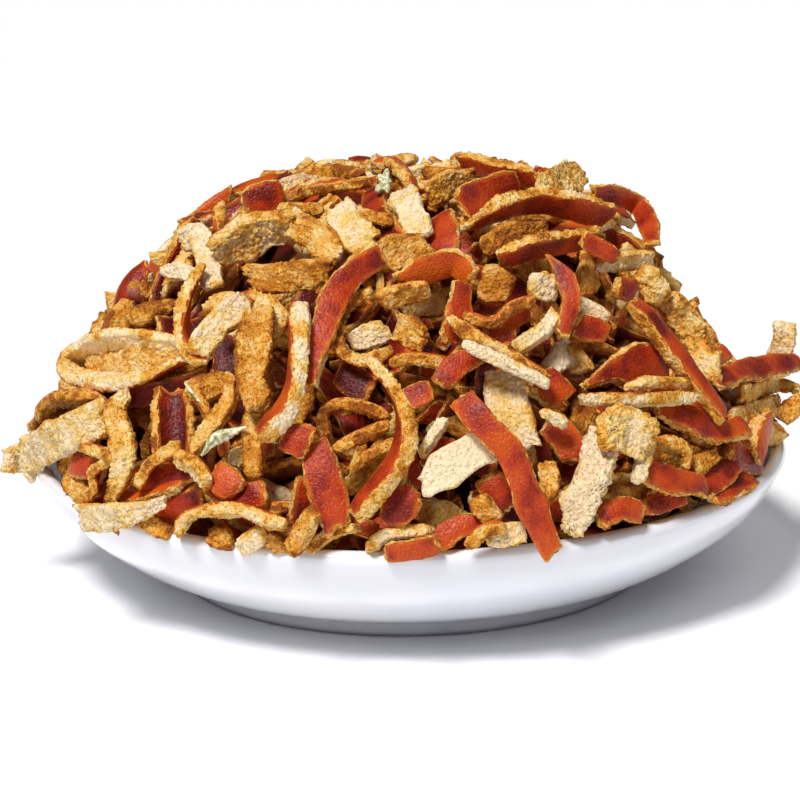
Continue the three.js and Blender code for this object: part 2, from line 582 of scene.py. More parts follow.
@dataclass
class Strewer:
    """Strews strips through the outer layers of the heap.

    Attributes:
        shape: The heap's outline.
        seed: For the random numbers.
        layers: For each layer: how many strips, how deep they lie, and how steeply they may lean.
        rim_count: How many strips lie round the dish's rim.
        crumb_count: How many crumbs lie between the strips.
        front_inset: How far strewn strips stay behind those laid at the front.
        side_inset: How far they stay under the outline all round.
        crown_rise: How much of that is taken back on the crown.
    """

    shape: HeapShape
    seed: int = 11
    layers: tuple[tuple[int, float, float], ...] = ((215, 1.8, 0.75), (170, 6.5, 0.6), (120, 11.0, 0.4))
    rim_count: int = 80
    crumb_count: int = 190
    front_inset: float = 5.5
    side_inset: float = 2.0
    crown_rise: float = 2.4

    STEPS = 25
    LONG_LENGTH = 26.0
    MIDDLING_LENGTH = 19.0

    def __post_init__(self) -> None:
        """Starts the random numbers."""
        self.rng = np.random.default_rng(self.seed)

    def about(self, middle: float, spread: float, low: float = 0.0, high: float = 1.0) -> float:
        """Draws a number about a middle one and keeps it in a range."""
        return float(np.clip(self.rng.normal(middle, spread), low, high))

    def free_strip(self, layer: int, hidden: float = 0.0) -> Strip:
        """Makes a strip of random size and curl, centred on the origin and lying level.

        Args:
            layer: How deep it lies, from 0 at the surface; deeper strips are painted browner as shade.
            hidden: How far it lies behind the front strips, from 0 to 1, which paints it darker as shade.

        Returns:
            The strip.
        """
        rng = self.rng
        length = float(np.clip(rng.gamma(7.0, 3.1), 9.0, 40.0))
        width = self.about(5.2, 1.0, 3.0, 8.0)
        thickness = self.about(2.4, 0.35, 1.6, 3.4)
        count = self.STEPS
        step = length / (count - 1)
        bow = rng.normal(0.0, 0.045) + 0.035 * np.sin(rng.uniform(0, 6.3) + np.linspace(0, 5, count))
        sway = rng.normal(0.0, 0.018) * np.ones(count)
        twist = rng.normal(0.0, 1.0) / length * np.ones(count)
        axes = np.eye(3)
        place = np.zeros(3)
        path, rind = [], []
        for index in range(count):
            path.append(place.copy())
            rind.append(axes[2].copy())
            place = place + axes[0] * step
            turn = axes[1] * bow[index] + axes[2] * sway[index] + axes[0] * twist[index]
            axes = axes @ turn_matrix(turn * step).T
        path = np.array(path) - np.mean(path, axis=0)
        kind = Kind.LOOSE_LONG if length > self.LONG_LENGTH else Kind.LOOSE_SHORT
        if self.MIDDLING_LENGTH < length <= self.LONG_LENGTH:
            kind = Kind.LOOSE_MIDDLING
        if layer == len(self.layers) - 1:
            kind = Kind.BURIED
        bare = rng.random()
        # Painted shade: deeper layers and strips hidden behind the front ones get a darker rind and a
        # browner pith, standing in for the shade they lie in.
        shade = (
            self.about(0.5, 0.28) + 0.25 * layer + 0.4 * hidden,
            self.about(0.28, 0.24) + 0.3 * layer + 0.55 * hidden,
            max(0.1, bare),
        )
        return Strip(
            path,
            np.array(rind),
            width,
            thickness,
            shade,
            kind,
            ends=tuple(rng.uniform(0.55, 0.95, 2)),
            cup=float(rng.normal(0.25, 0.5)),
            slant=tuple(rng.uniform(-0.6, 0.6, 2)),
            knob=float(rng.uniform(0.2, 0.6)),
        )

    def inset(self, points: Array) -> Array:
        """Keeps strewn strips behind those laid at the front and level with those on the crown.

        Args:
            points: Points in millimetres, one a row.

        Returns:
            How far under the heap's outline each point has to stay.
        """
        front = self.front_inset * blend(-4.0, -34.0, points[:, 1])
        front = front * blend(64.0, 44.0, np.abs(points[:, 0]))
        return front + self.side_inset - self.crown_rise * blend(54.0, 72.0, points[:, 2])

    def strew(self) -> list[Strip]:
        """Strews the strips.

        Returns:
            The strips where they fell, still overlapping.
        """
        strips = []
        golden = math.pi * (3.0 - math.sqrt(5.0))
        for layer, (count, depth, lean) in enumerate(self.layers):
            for index in range(count):
                height = 0.03 + 0.97 * (index + 0.5) / count
                rise = math.asin(height**1.08)
                turn = index * golden + layer
                at, out = self.shape.place(turn, rise, depth + self.rng.uniform(-1.2, 1.2))
                inset = self.inset(at[None])[0]
                hidden = float(np.clip(inset / self.front_inset - 0.2, 0.0, 1.0))
                strip = self.free_strip(layer, hidden)
                strips.append(self.dropped(strip, at - out * inset, out, lean))
        for index in range(self.rim_count):
            turn = 2.0 * math.pi * (index + self.rng.uniform(0.0, 0.6)) / self.rim_count
            at, out = self.shape.place(turn, 0.02, self.rng.uniform(0.0, 4.0))
            strip = self.free_strip(0)
            strips.append(self.dropped(strip, at, out, 0.3, 0.35))
        return strips + [self.crumb(index * golden) for index in range(self.crumb_count)]

    def crumb(self, turn: float) -> Strip:
        """Drops a crumb between the outer strips.

        Args:
            turn: The angle round the heap, in radians.

        Returns:
            The crumb.
        """
        rng = self.rng
        rise = math.asin(rng.uniform(0.02, 0.98))
        at, out = self.shape.place(turn, rise, rng.uniform(2.0, 6.0))
        along = unit(np.cross(out, rng.normal(size=3)))
        steps = np.linspace(-0.5, 0.5, 5)[:, None] * rng.uniform(1.6, 4.2)
        rind = np.tile(unit(rng.normal(size=3) + out), (5, 1))
        width, thickness = rng.uniform(1.3, 3.0), rng.uniform(0.9, 2.0)
        shade = (rng.uniform(0.0, 1.0), rng.uniform(0.0, 0.8), 0.8)
        return Strip(at + steps * along, rind, width, thickness, shade, Kind.CRUMB, (0.5, 0.6))

    def dropped(self, strip: Strip, at: Array, out: Array, lean: float, level: float = 3.2) -> Strip:
        """Drops a strip on its place.

        Args:
            strip: The strip to drop.
            at: Where its middle comes.
            out: The direction out of the heap there.
            lean: How steeply it may stand, in radians.
            level: How far its heading may turn from level, in radians.

        Returns:
            The same strip.
        """
        rng = self.rng
        round_axis = unit(np.cross([0.0, 0.0, 1.0], out) + np.array([1e-6, 0.0, 0.0]))
        heading = turn_matrix(out * rng.uniform(-level, level) / 2.0) @ round_axis
        side = np.cross(out, heading)
        base = np.column_stack([heading, side, out])
        pitch = turn_matrix(side * rng.normal(0.0, lean / 2.0))
        roll = turn_matrix(pitch @ heading * rng.uniform(-math.pi, math.pi))
        strip.move(roll @ pitch @ base, at)
        return strip


def turn_matrix(turn: Array) -> Array:
    """Makes a rotation.

    Args:
        turn: The axis, with the angle in radians as its length.

    Returns:
        The rotation matrix.
    """
    angle = float(np.linalg.norm(turn))
    if angle < 1e-9:
        return np.eye(3)
    x, y, z = turn / angle
    cross = np.array([[0.0, -z, y], [z, 0.0, -x], [-y, x, 0.0]])
    return np.eye(3) + math.sin(angle) * cross + (1.0 - math.cos(angle)) * cross @ cross


@dataclass
class Settler:
    """Pushes strips apart until they only touch, and keeps them in the heap.

    Attributes:
        shape: The heap's outline.
        view: Where the heap is seen from.
        inset: How far under the outline a strewn point has to stay.
        rounds: How many times every strip is moved.
        laid_drift: How far a laid strip may move towards the viewer in all.
        laid_share: The share of a push that a laid strip takes from a strewn one.
        shift_gain: How far a strip moves for the mean push on its beads.
        spin_gain: How far it turns for them.
        longest_shift: How far a strip moves in one round at most.
        widest_spin: How far it turns about each axis in one round at most, in radians.
        shell: How deep under the outline strewn strips may sink.
        pull_in: The share of a bead's way outside that one round takes back.
        lift_out: The share of its way under the shell that one round takes back.
        well_slope: How steeply the dish's well falls from its rim.
        well_floor: The height of the well's floor under the strips.
    """

    shape: HeapShape
    view: Viewpoint
    inset: Callable[[Array], Array]
    rounds: int = 90
    laid_drift: float = 3.0
    laid_share: float = 0.08
    shift_gain: float = 1.6
    spin_gain: float = 1.3
    longest_shift: float = 1.5
    widest_spin: float = 0.15
    shell: float = 15.0
    pull_in: float = 0.35
    lift_out: float = 0.3
    well_slope: float = 0.75
    well_floor: float = 8.0

    def settle(self, strips: list[Strip]) -> None:
        """Moves strips until they hardly overlap.

        Args:
            strips: The strips; they are moved in place.
        """
        found = [strip.beads() for strip in strips]
        owner = np.concatenate([np.full(len(f[0]), i) for i, f in enumerate(found)])
        radius = np.concatenate([np.full(len(f[0]), f[1]) for f in found])
        beads = np.vstack([f[0] for f in found])
        laid = np.array([strip.laid for strip in strips])
        count = np.bincount(owner, minlength=len(strips)).astype(float)
        turns = np.repeat(np.eye(3)[None], len(strips), axis=0)
        middles = self.sums(owner, beads) / count[:, None]
        start = middles.copy()
        for _ in range(self.rounds):
            push = np.zeros_like(beads)
            self.push_apart(beads, radius, owner, laid, push)
            self.hold_in(beads, radius, laid[owner], push)
            shift = self.shift_gain * self.sums(owner, push) / count[:, None]
            arms = beads - middles[owner]
            spin = self.spin_gain * self.sums(owner, np.cross(arms, push))
            spin = spin / np.maximum(self.sums(owner, arms**2).sum(axis=1), 1.0)[:, None]
            sight = unit(self.view.eye - middles)
            along = (shift * sight).sum(axis=1, keepdims=True) * sight
            shift = np.where(laid[:, None], along, shift)
            spin[laid] = 0.0
            far = np.maximum(np.linalg.norm(shift, axis=1), 1e-9)
            shift = shift * np.minimum(1.0, self.longest_shift / far)[:, None]
            drift = ((middles + shift - start) * sight).sum(axis=1)
            shift -= np.where(laid, np.clip(drift - self.laid_drift, 0.0, None), 0.0)[:, None] * sight
            spin = np.clip(spin, -self.widest_spin, self.widest_spin)
            step = np.array([turn_matrix(turn) for turn in spin])
            turns = step @ turns
            beads = np.einsum("nij,nj->ni", step[owner], arms) + (middles + shift)[owner]
            middles = middles + shift
        for index, strip in enumerate(strips):
            centre = strip.path.mean(axis=0)
            arm = centre - start[index]
            strip.move(turns[index], middles[index] + turns[index] @ arm - centre)

    @staticmethod
    def sums(owner: Array, values: Array) -> Array:
        """Adds up values for each strip.

        Args:
            owner: Which strip each value belongs to.
            values: The values, one a row.

        Returns:
            One row for each strip.
        """
        return np.column_stack([np.bincount(owner, values[:, k]) for k in range(values.shape[1])])

    def push_apart(self, beads: Array, radius: Array, owner: Array, laid: Array, push: Array) -> None:
        """Adds the pushes between strips that overlap.

        Args:
            beads: The beads' centres.
            radius: The beads' radii.
            owner: Which strip each bead belongs to.
            laid: Which strips were laid one by one.
            push: The pushes so far; they are added to.
        """
        for first, second in self.near(beads, 2.0 * float(radius.max())):
            apart = beads[first] - beads[second]
            gap = np.linalg.norm(apart, axis=1)
            overlap = radius[first] + radius[second] - gap
            keep = (overlap > 0.0) & (owner[first] != owner[second])
            first, second, overlap = first[keep], second[keep], overlap[keep]
            way = apart[keep] / np.maximum(gap[keep], 1e-6)[:, None]
            held_first, held_second = laid[owner[first]], laid[owner[second]]
            uneven = np.where(held_first, self.laid_share, 1.0 - self.laid_share)
            share = np.where(held_first == held_second, 0.5, uneven)
            amount = overlap[:, None] * way
            for axis in range(3):
                push[:, axis] += np.bincount(first, share * amount[:, axis], len(beads))
                push[:, axis] -= np.bincount(second, (1.0 - share) * amount[:, axis], len(beads))

    @staticmethod
    def near(points: Array, reach: float) -> Iterator[tuple[Array, Array]]:
        """Finds pairs of points in the same or neighbouring cells.

        Args:
            points: The points.
            reach: The size of a cell.

        Yields:
            The indices of the first and of the second point of each pair.
        """
        cell = np.floor(points / reach).astype(np.int64) + 512
        key = (cell[:, 0] << 20) + (cell[:, 1] << 10) + cell[:, 2]
        order = np.argsort(key, kind="stable")
        ranked = key[order]
        for x, y, z in np.ndindex(3, 3, 3):
            offset = ((x - 1) << 20) + ((y - 1) << 10) + (z - 1)
            if offset < 0:
                continue
            start = np.searchsorted(ranked, key + offset, "left")
            size = np.searchsorted(ranked, key + offset, "right") - start
            first = np.repeat(np.arange(len(points)), size)
            begin = np.repeat(start - np.cumsum(size) + size, size)
            second = order[begin + np.arange(len(first))]
            if offset == 0:
                once = first < second
                first, second = first[once], second[once]
            yield first, second

    def hold_in(self, beads: Array, radius: Array, laid: Array, push: Array) -> None:
        """Adds the pushes that keep strewn strips under the outline and off the dish.

        Args:
            beads: The beads' centres.
            radius: The beads' radii.
            laid: Whether each bead is of a strip that was laid one by one.
            push: The pushes so far; they are added to.
        """
        centre = np.array([0.0, 0.0, self.shape.rim_height])
        out = unit(beads - centre)
        over = self.shape.outside(beads) + self.inset(beads) + 0.4 * radius
        free = ~laid
        push[free] -= (self.pull_in * np.clip(over, 0.0, 3.0)[:, None] * out)[free]
        deep = -self.shape.outside(beads) - self.shell
        push[free] += (self.lift_out * np.clip(deep, 0.0, 3.0)[:, None] * out)[free]
        across = np.hypot(beads[:, 0], beads[:, 1])
        well = self.shape.rim_height - self.well_slope * (self.shape.rim_radius - 2.0 - across)
        well = np.where(across > self.shape.rim_radius - 4.0, self.shape.rim_height, well)
        sunk = np.maximum(well, self.well_floor) + radius + 0.2 - beads[:, 2]
        push[:, 2] += 0.8 * np.clip(sunk, 0.0, 4.0)


@dataclass(frozen=True)
class Bar:
    """A bar from -1 to 1 along each axis, cut into a grid of faces.

    Attributes:
        points: The corners: along, across and through the bar.
        faces: The corners of each face.
    """

    points: Array
    faces: Array

    @classmethod
    def cut(cls, steps: tuple[int, int, int]) -> "Bar":
        """Cuts a bar into a grid.

        Args:
            steps: How many faces along, across and through.

        Returns:
            The bar.
        """
        mesh = bmesh.new()
        bmesh.ops.create_cube(mesh, size=2.0)
        for axis, count in enumerate(steps):
            run = [e for e in mesh.edges if abs(e.verts[0].co[axis] - e.verts[1].co[axis]) > 1.0]
            bmesh.ops.subdivide_edges(mesh, edges=run, cuts=count - 1, use_grid_fill=True)
        bmesh.ops.recalc_face_normals(mesh, faces=mesh.faces)
        mesh.verts.index_update()
        points = np.array([v.co[:] for v in mesh.verts])
        faces = np.array([[v.index for v in f.verts] for f in mesh.faces])
        mesh.free()
        return cls(points, faces)


@dataclass
class StripMaker:
    """Shapes bars into strips of peel and joins those of one kind.

    Attributes:
        grain: The noise that roughens them.
        seed: For the random numbers.
        bars: The bars that are cut already, by their steps.
    """

    grain: Grain
    seed: int = 5
    bars: dict[tuple[int, int, int], Bar] = field(default_factory=dict)

    LAID_FACE = 0.47
    STREWN_FACE = 0.9
    BURIED_FACE = 1.5
    CRUMB_STEPS = (4, 3, 3)
    ROUND_OFF = 0.3
    CORNER_POWER = 5
    LUMP_SIZE = 1.2
    GRANULE_SIZE = 0.75
    SWELL_SIZE = 3.2

    def bar_for(self, strip: Strip) -> Bar:
        """Picks a bar that is fine enough for a strip.

        Args:
            strip: The strip to be made.

        Returns:
            The bar, cut once for each grid.
        """
        fine = self.LAID_FACE if strip.laid else self.STREWN_FACE
        if strip.kind is Kind.BURIED:
            fine = self.BURIED_FACE
        steps = (
            max(6, 4 * round(strip.length / fine / 4)),
            max(3, round(strip.width / fine / 0.95)),
            max(2, round(strip.thickness / fine)),
        )
        if strip.kind is Kind.CRUMB:
            steps = self.CRUMB_STEPS
        if steps not in self.bars:
            self.bars[steps] = Bar.cut(steps)
        return self.bars[steps]

    def shape(self, strip: Strip, rng: np.random.Generator) -> tuple[Array, dict[str, Array], Array]:
        """Bends and roughens a bar into a strip.

        Args:
            strip: The strip.
            rng: For its own differences.

        Returns:
            Its points, its values for the finish, and its faces.
        """
        bar = self.bar_for(strip)
        u, a, t = (bar.points[:, 0] + 1.0) / 2.0, bar.points[:, 1], bar.points[:, 2]
        own = rng.uniform(0.0, 900.0, 3)
        flare = rng.uniform(-0.05, 0.2)
        line = np.column_stack([u * strip.length, np.zeros_like(u), np.zeros_like(u)]) + own
        half = self.half_width(strip, u, line)
        across = a * np.sqrt(1.0 - self.ROUND_OFF * t**2 / 2.0) * (1.0 - flare * t / 2.0) * half
        thin = 1.0 + 0.28 * self.grain.smooth(line + 31.0, 5.0)
        thin = thin * (0.72 + 0.28 * blend(0.0, 0.12, u) * blend(1.0, 0.88, u))
        through_it = t * np.sqrt(1.0 - self.ROUND_OFF * a**2 / 2.0) * strip.thickness / 2.0 * thin
        cap = (np.abs(bar.points[:, 0]) > 0.999) * np.sign(bar.points[:, 0])
        along = self.torn_ends(strip, u, across, through_it, own)
        along += cap * 0.5 * (1.0 - np.maximum(a**2, t**2))
        height, crease = self.relief(strip, t, np.column_stack([along, across, through_it]) + own)
        lean_a = np.sign(a) * np.abs(a) ** self.CORNER_POWER
        lean_t = np.sign(t) * np.abs(t) ** self.CORNER_POWER
        lean_u = cap * 0.8
        size = np.sqrt(lean_a**2 + lean_t**2 + lean_u**2)
        across = across + height * lean_a / size
        through_it = through_it + height * lean_t / size
        along = along + height * lean_u / size
        values = {
            "depth": (1.0 - t) / 2.0 * strip.thickness,
            "edge": np.minimum((1.0 - np.abs(a)) * half, np.minimum(u, 1.0 - u) * strip.length),
            "crease": crease,
            "shade": np.tile(np.array(strip.shade), (len(u), 1)),
        }
        return self.bend(strip, along, across, through_it), values, bar.faces

    def half_width(self, strip: Strip, u: Array, line: Array) -> Array:
        """Draws a strip's ragged outline.

        Args:
            strip: The strip.
            u: The share of the strip's length, from 0 to 1.
            line: Where its own noise is read along it.

        Returns:
            Half of its width at each point.
        """
        grow = strip.taper
        share = strip.ends[0] + (1.0 - strip.ends[0]) * blend(0.0, grow, u)
        share = np.minimum(share, strip.ends[1] + (1.0 - strip.ends[1]) * blend(1.0, 1.0 - grow, u))
        ragged = 0.17 * self.grain.smooth(line, 5.0) + 0.08 * self.grain.smooth(line, 1.8)
        return strip.width / 2.0 * share * (1.0 + ragged)

    def torn_ends(self, strip: Strip, u: Array, across: Array, through_it: Array, own: Array) -> Array:
        """Cuts a strip's ends obliquely and tears them.

        Args:
            strip: The strip.
            u: The share of the strip's length, from 0 to 1.
            across: Millimetres sideways.
            through_it: Millimetres towards the rind.
            own: Where the strip's own noise starts.

        Returns:
            Millimetres from the strip's start for each point.
        """
        slant = strip.slant[0] * (1.0 - u) + strip.slant[1] * u
        tip = np.column_stack([np.round(u) * 9.0, across, through_it * 0.6]) + own
        torn = self.grain.smooth(tip, 2.3) + 0.4 * self.grain.smooth(tip + 7.0, 0.9)
        torn *= min(1.0, strip.length / 16.0)
        return u * strip.length + slant * across + torn * np.abs(2.0 * u - 1.0) ** 6

    def relief(self, strip: Strip, t: Array, place: Array) -> tuple[Array, Array]:
        """Raises lumps and granules, high on the pith and low on the rind.

        Args:
            strip: The strip.
            t: From -1 at the pith's face to 1 at the rind's.
            place: Where the strip's own noise is read.

        Returns:
            Millimetres to raise each point, and how far it lies in a crease, from 0 to 1.
        """
        lumps = self.grain.granules(place, self.LUMP_SIZE)
        lumps = lumps * (0.65 + 0.5 * self.grain.smooth(place, 4.0))
        granules = lumps
        if strip.kind is not Kind.BURIED:
            granules = self.grain.granules(place + 17.0, self.GRANULE_SIZE)
        swell = self.grain.smooth(place, self.SWELL_SIZE)
        pithy = blend(0.75, -0.2, t)
        rough = min(1.0, 0.3 + 2.4 * strip.knob)
        height = strip.knob * (0.8 * swell + 0.9 * lumps) + rough * (0.38 * lumps + 0.24 * granules - 0.36)
        height *= pithy
        height += (1.0 - pithy) * (0.12 * swell - 0.06 * granules)
        return height, 1.0 - np.clip(0.65 * lumps + 0.35 * granules, 0.0, 1.0)

    @staticmethod
    def bend(strip: Strip, along: Array, across: Array, through_it: Array) -> Array:
        """Carries a straight strip's points to where the strip lies.

        Args:
            strip: The strip.
            along: Millimetres from the strip's start.
            across: Millimetres sideways.
            through_it: Millimetres towards the rind.

        Returns:
            The points in the heap.
        """
        heading, aside, rind = strip.axes()
        paces = np.linalg.norm(np.diff(strip.path, axis=0), axis=1)
        places = np.concatenate([[0.0], np.cumsum(paces)])

        def read(rows: Array) -> Array:
            """Reads values at the places along the strip."""
            return np.column_stack([np.interp(along, places, rows[:, k]) for k in range(3)])

        spill = along - np.clip(along, 0.0, places[-1])
        middle = read(strip.path) + spill[:, None] * read(heading)
        side, out = unit(read(aside)), unit(read(rind))
        if abs(strip.cup) > 0.02:
            bow = strip.width / strip.cup
            angle = across / bow
            across = (bow + through_it) * np.sin(angle)
            through_it = (bow + through_it) * np.cos(angle) - bow
        return middle + across[:, None] * side + through_it[:, None] * out

    def join(self, name: str, strips: list[Strip]) -> bpy.types.Object:
        """Makes one mesh of many strips.

        Args:
            name: The piece's name.
            strips: The strips.

        Returns:
            The piece.
        """
        points, faces, values = [], [], {}
        total = 0
        rng = np.random.default_rng([self.seed, len(strips)])
        for strip in strips:
            own_points, own_values, own_faces = self.shape(strip, rng)
            points.append(own_points)
            faces.append(own_faces + total)
            total += len(own_points)
            for key, value in own_values.items():
                values.setdefault(key, []).append(value)
        return joined_piece(
            name,
            np.vstack(points),
            np.vstack(faces),
            {key: np.concatenate(value) for key, value in values.items()},
        )


def joined_piece(name: str, points: Array, faces: Array, values: dict[str, Array]) -> bpy.types.Object:
    """Makes a smooth mesh object from arrays.

    Args:
        name: The object's name.
        points: Its points in millimetres.
        faces: The corners of its faces, all with the same number of corners.
        values: Numbers or vectors for each point, by name.

    Returns:
        The object, at the origin.
    """
    mesh = bpy.data.meshes.new(name)
    corners = faces.shape[1]
    mesh.vertices.add(len(points))
    mesh.vertices.foreach_set("co", (points * MM).ravel())
    mesh.loops.add(faces.size)
    mesh.loops.foreach_set("vertex_index", faces.ravel())
    mesh.polygons.add(len(faces))
    mesh.polygons.foreach_set("loop_start", np.arange(len(faces)) * corners)
    mesh.polygons.foreach_set("use_smooth", np.ones(len(faces), dtype=bool))
    for key, value in values.items():
        vector = value.ndim == 2
        layer = mesh.attributes.new(key, "FLOAT_VECTOR" if vector else "FLOAT", "POINT")
        layer.data.foreach_set("vector" if vector else "value", value.astype(np.float32).ravel())
    mesh.update(calc_edges=True)
    mesh.validate()
    return add_object(name, mesh)


class NodeBook:
    """Lays out the nodes of one material."""

    def __init__(self, name: str) -> None:
        """Starts an empty material.

        Args:
            name: The material's name.
        """
        self.material = bpy.data.materials.new(name)
        self.material.use_nodes = True
        self.tree = self.material.node_tree
        self.tree.nodes.clear()
        self.output = self.tree.nodes.new("ShaderNodeOutputMaterial")
        self.shader = self.tree.nodes.new("ShaderNodeBsdfPrincipled")
        self.tree.links.new(self.shader.outputs[0], self.output.inputs[0])
        self.place = self.tree.nodes.new("ShaderNodeTexCoord").outputs["Object"]

    def link(self, source: bpy.types.NodeSocket, target: bpy.types.NodeSocket) -> None:
        """Links one socket to another."""
        self.tree.links.new(source, target)

    def feed(self, target: bpy.types.NodeSocket, value: object) -> None:
        """Gives a socket a link or a plain value.

        Args:
            target: The socket to fill.
            value: A socket to link, or a number, vector or colour.
        """
        if isinstance(value, bpy.types.NodeSocket):
            self.link(value, target)
        else:
            target.default_value = value

    def attribute(self, name: str, vector: bool = False) -> bpy.types.NodeSocket:
        """Reads a value that the mesh carries.

        Args:
            name: The value's name.
            vector: Whether it is a vector.

        Returns:
            The socket that gives it.
        """
        node = self.tree.nodes.new("ShaderNodeAttribute")
        node.attribute_name = name
        return node.outputs["Vector" if vector else "Fac"]

    def split(self, vector: bpy.types.NodeSocket) -> list[bpy.types.NodeSocket]:
        """Splits a vector into its three numbers."""
        node = self.tree.nodes.new("ShaderNodeSeparateXYZ")
        self.link(vector, node.inputs[0])
        return list(node.outputs)

    def math(
        self, operation: str, first: object, second: object, clamp: bool = False
    ) -> bpy.types.NodeSocket:
        """Adds one sum.

        Args:
            operation: The kind of sum.
            first: A socket or number.
            second: A socket or number.
            clamp: Whether the result stays from 0 to 1.

        Returns:
            The socket with the result.
        """
        node = self.tree.nodes.new("ShaderNodeMath")
        node.operation = operation
        node.use_clamp = clamp
        self.feed(node.inputs[0], first)
        self.feed(node.inputs[1], second)
        return node.outputs[0]

    def add(self, first: object, second: object, clamp: bool = False) -> bpy.types.NodeSocket:
        """Adds two numbers."""
        return self.math("ADD", first, second, clamp)

    def times(self, first: object, second: object) -> bpy.types.NodeSocket:
        """Multiplies two numbers."""
        return self.math("MULTIPLY", first, second)

    def waver(self, noise: bpy.types.NodeSocket, amount: float) -> bpy.types.NodeSocket:
        """Turns noise into a number that wavers by an amount about nothing."""
        return self.spread(noise, 0.3, 0.7, -amount, amount)

    def spread(
        self, value: object, low: float, high: float, to_low: float = 0.0, to_high: float = 1.0
    ) -> bpy.types.NodeSocket:
        """Carries a range smoothly to another.

        Args:
            value: A socket.
            low: Where the range starts.
            high: Where it ends.
            to_low: The result at its start.
            to_high: The result at its end.

        Returns:
            The socket with the result.
        """
        node = self.tree.nodes.new("ShaderNodeMapRange")
        node.interpolation_type = "SMOOTHSTEP"
        for socket, given in zip(node.inputs, (value, low, high, to_low, to_high)):
            self.feed(socket, given)
        return node.outputs[0]

    def noise(self, size: float, detail: float = 3.0) -> bpy.types.NodeSocket:
        """Adds smooth noise on the object's own coordinates.

        Args:
            size: How wide a bump is, in millimetres.
            detail: How many finer layers it has.

        Returns:
            The socket with a number about 0.5.
        """
        node = self.tree.nodes.new("ShaderNodeTexNoise")
        self.link(self.place, node.inputs["Vector"])
        node.inputs["Scale"].default_value = 1.0 / (size * MM)
        node.inputs["Detail"].default_value = detail
        node.inputs["Roughness"].default_value = 0.55
        return node.outputs[0]

    def cells(self, size: float, smooth: bool = False) -> bpy.types.NodeSocket:
        """Adds a pattern of cells on the object's own coordinates.

        Args:
            size: How wide a cell is, in millimetres.
            smooth: Whether the cells run into each other.

        Returns:
            The socket with the distance from each cell's middle.
        """
        node = self.tree.nodes.new("ShaderNodeTexVoronoi")
        node.feature = "SMOOTH_F1" if smooth else "F1"
        self.link(self.place, node.inputs["Vector"])
        node.inputs["Scale"].default_value = 1.0 / (size * MM)
        return node.outputs["Distance"]

    def mix(self, share: object, first: object, second: object) -> bpy.types.NodeSocket:
        """Mixes two colours.

        Args:
            share: How much of the second, from 0 to 1.
            first: A socket or colour.
            second: A socket or colour.

        Returns:
            The socket with the colour.
        """
        node = self.tree.nodes.new("ShaderNodeMix")
        node.data_type = "RGBA"
        self.feed(node.inputs[0], share)
        self.feed(node.inputs[6], first)
        self.feed(node.inputs[7], second)
        return node.outputs[2]

    def choose(self, share: object, first: object, second: object) -> bpy.types.NodeSocket:
        """Mixes two numbers.

        Args:
            share: How much of the second, from 0 to 1.
            first: A socket or number.
            second: A socket or number.

        Returns:
            The socket with the number.
        """
        node = self.tree.nodes.new("ShaderNodeMix")
        for socket, given in zip(node.inputs[:1] + node.inputs[2:4], (share, first, second)):
            self.feed(socket, given)
        return node.outputs[0]

    def ramp(
        self, value: object, stops: Sequence[tuple[float, tuple[float, ...]]]
    ) -> bpy.types.NodeSocket:
        """Turns a number into a colour.

        Args:
            value: The socket with the number.
            stops: Places from 0 to 1 and their colours.

        Returns:
            The socket with the colour.
        """
        node = self.tree.nodes.new("ShaderNodeValToRGB")
        self.link(value, node.inputs[0])
        elements = node.color_ramp.elements
        while len(elements) < len(stops):
            elements.new(0.5)
        for element, (place, colour) in zip(elements, stops):
            element.position = place
            element.color = colour
        return node.outputs[0]

    def bump(self, height: object, strength: float, depth: float) -> bpy.types.NodeSocket:
        """Adds relief to the shader's normal.

        Args:
            height: The socket with the height from 0 to 1.
            strength: How strong it is.
            depth: How deep it is, in millimetres.

        Returns:
            The socket with the normal.
        """
        node = self.tree.nodes.new("ShaderNodeBump")
        node.inputs["Strength"].default_value = strength
        node.inputs["Distance"].default_value = depth * MM
        self.feed(node.inputs["Height"], height)
        return node.outputs[0]


def colour(red: float, green: float, blue: float) -> tuple[float, float, float, float]:
    """Turns screen colour values from 0 to 255 into a shader colour.

    Args:
        red: Red.
        green: Green.
        blue: Blue.

    Returns:
        The linear colour with full alpha.
    """
    screen = (red, green, blue)
    linear = [((c / 255 + 0.055) / 1.055) ** 2.4 if c > 10 else c / 255 / 12.92 for c in screen]
    return (*linear, 1.0)


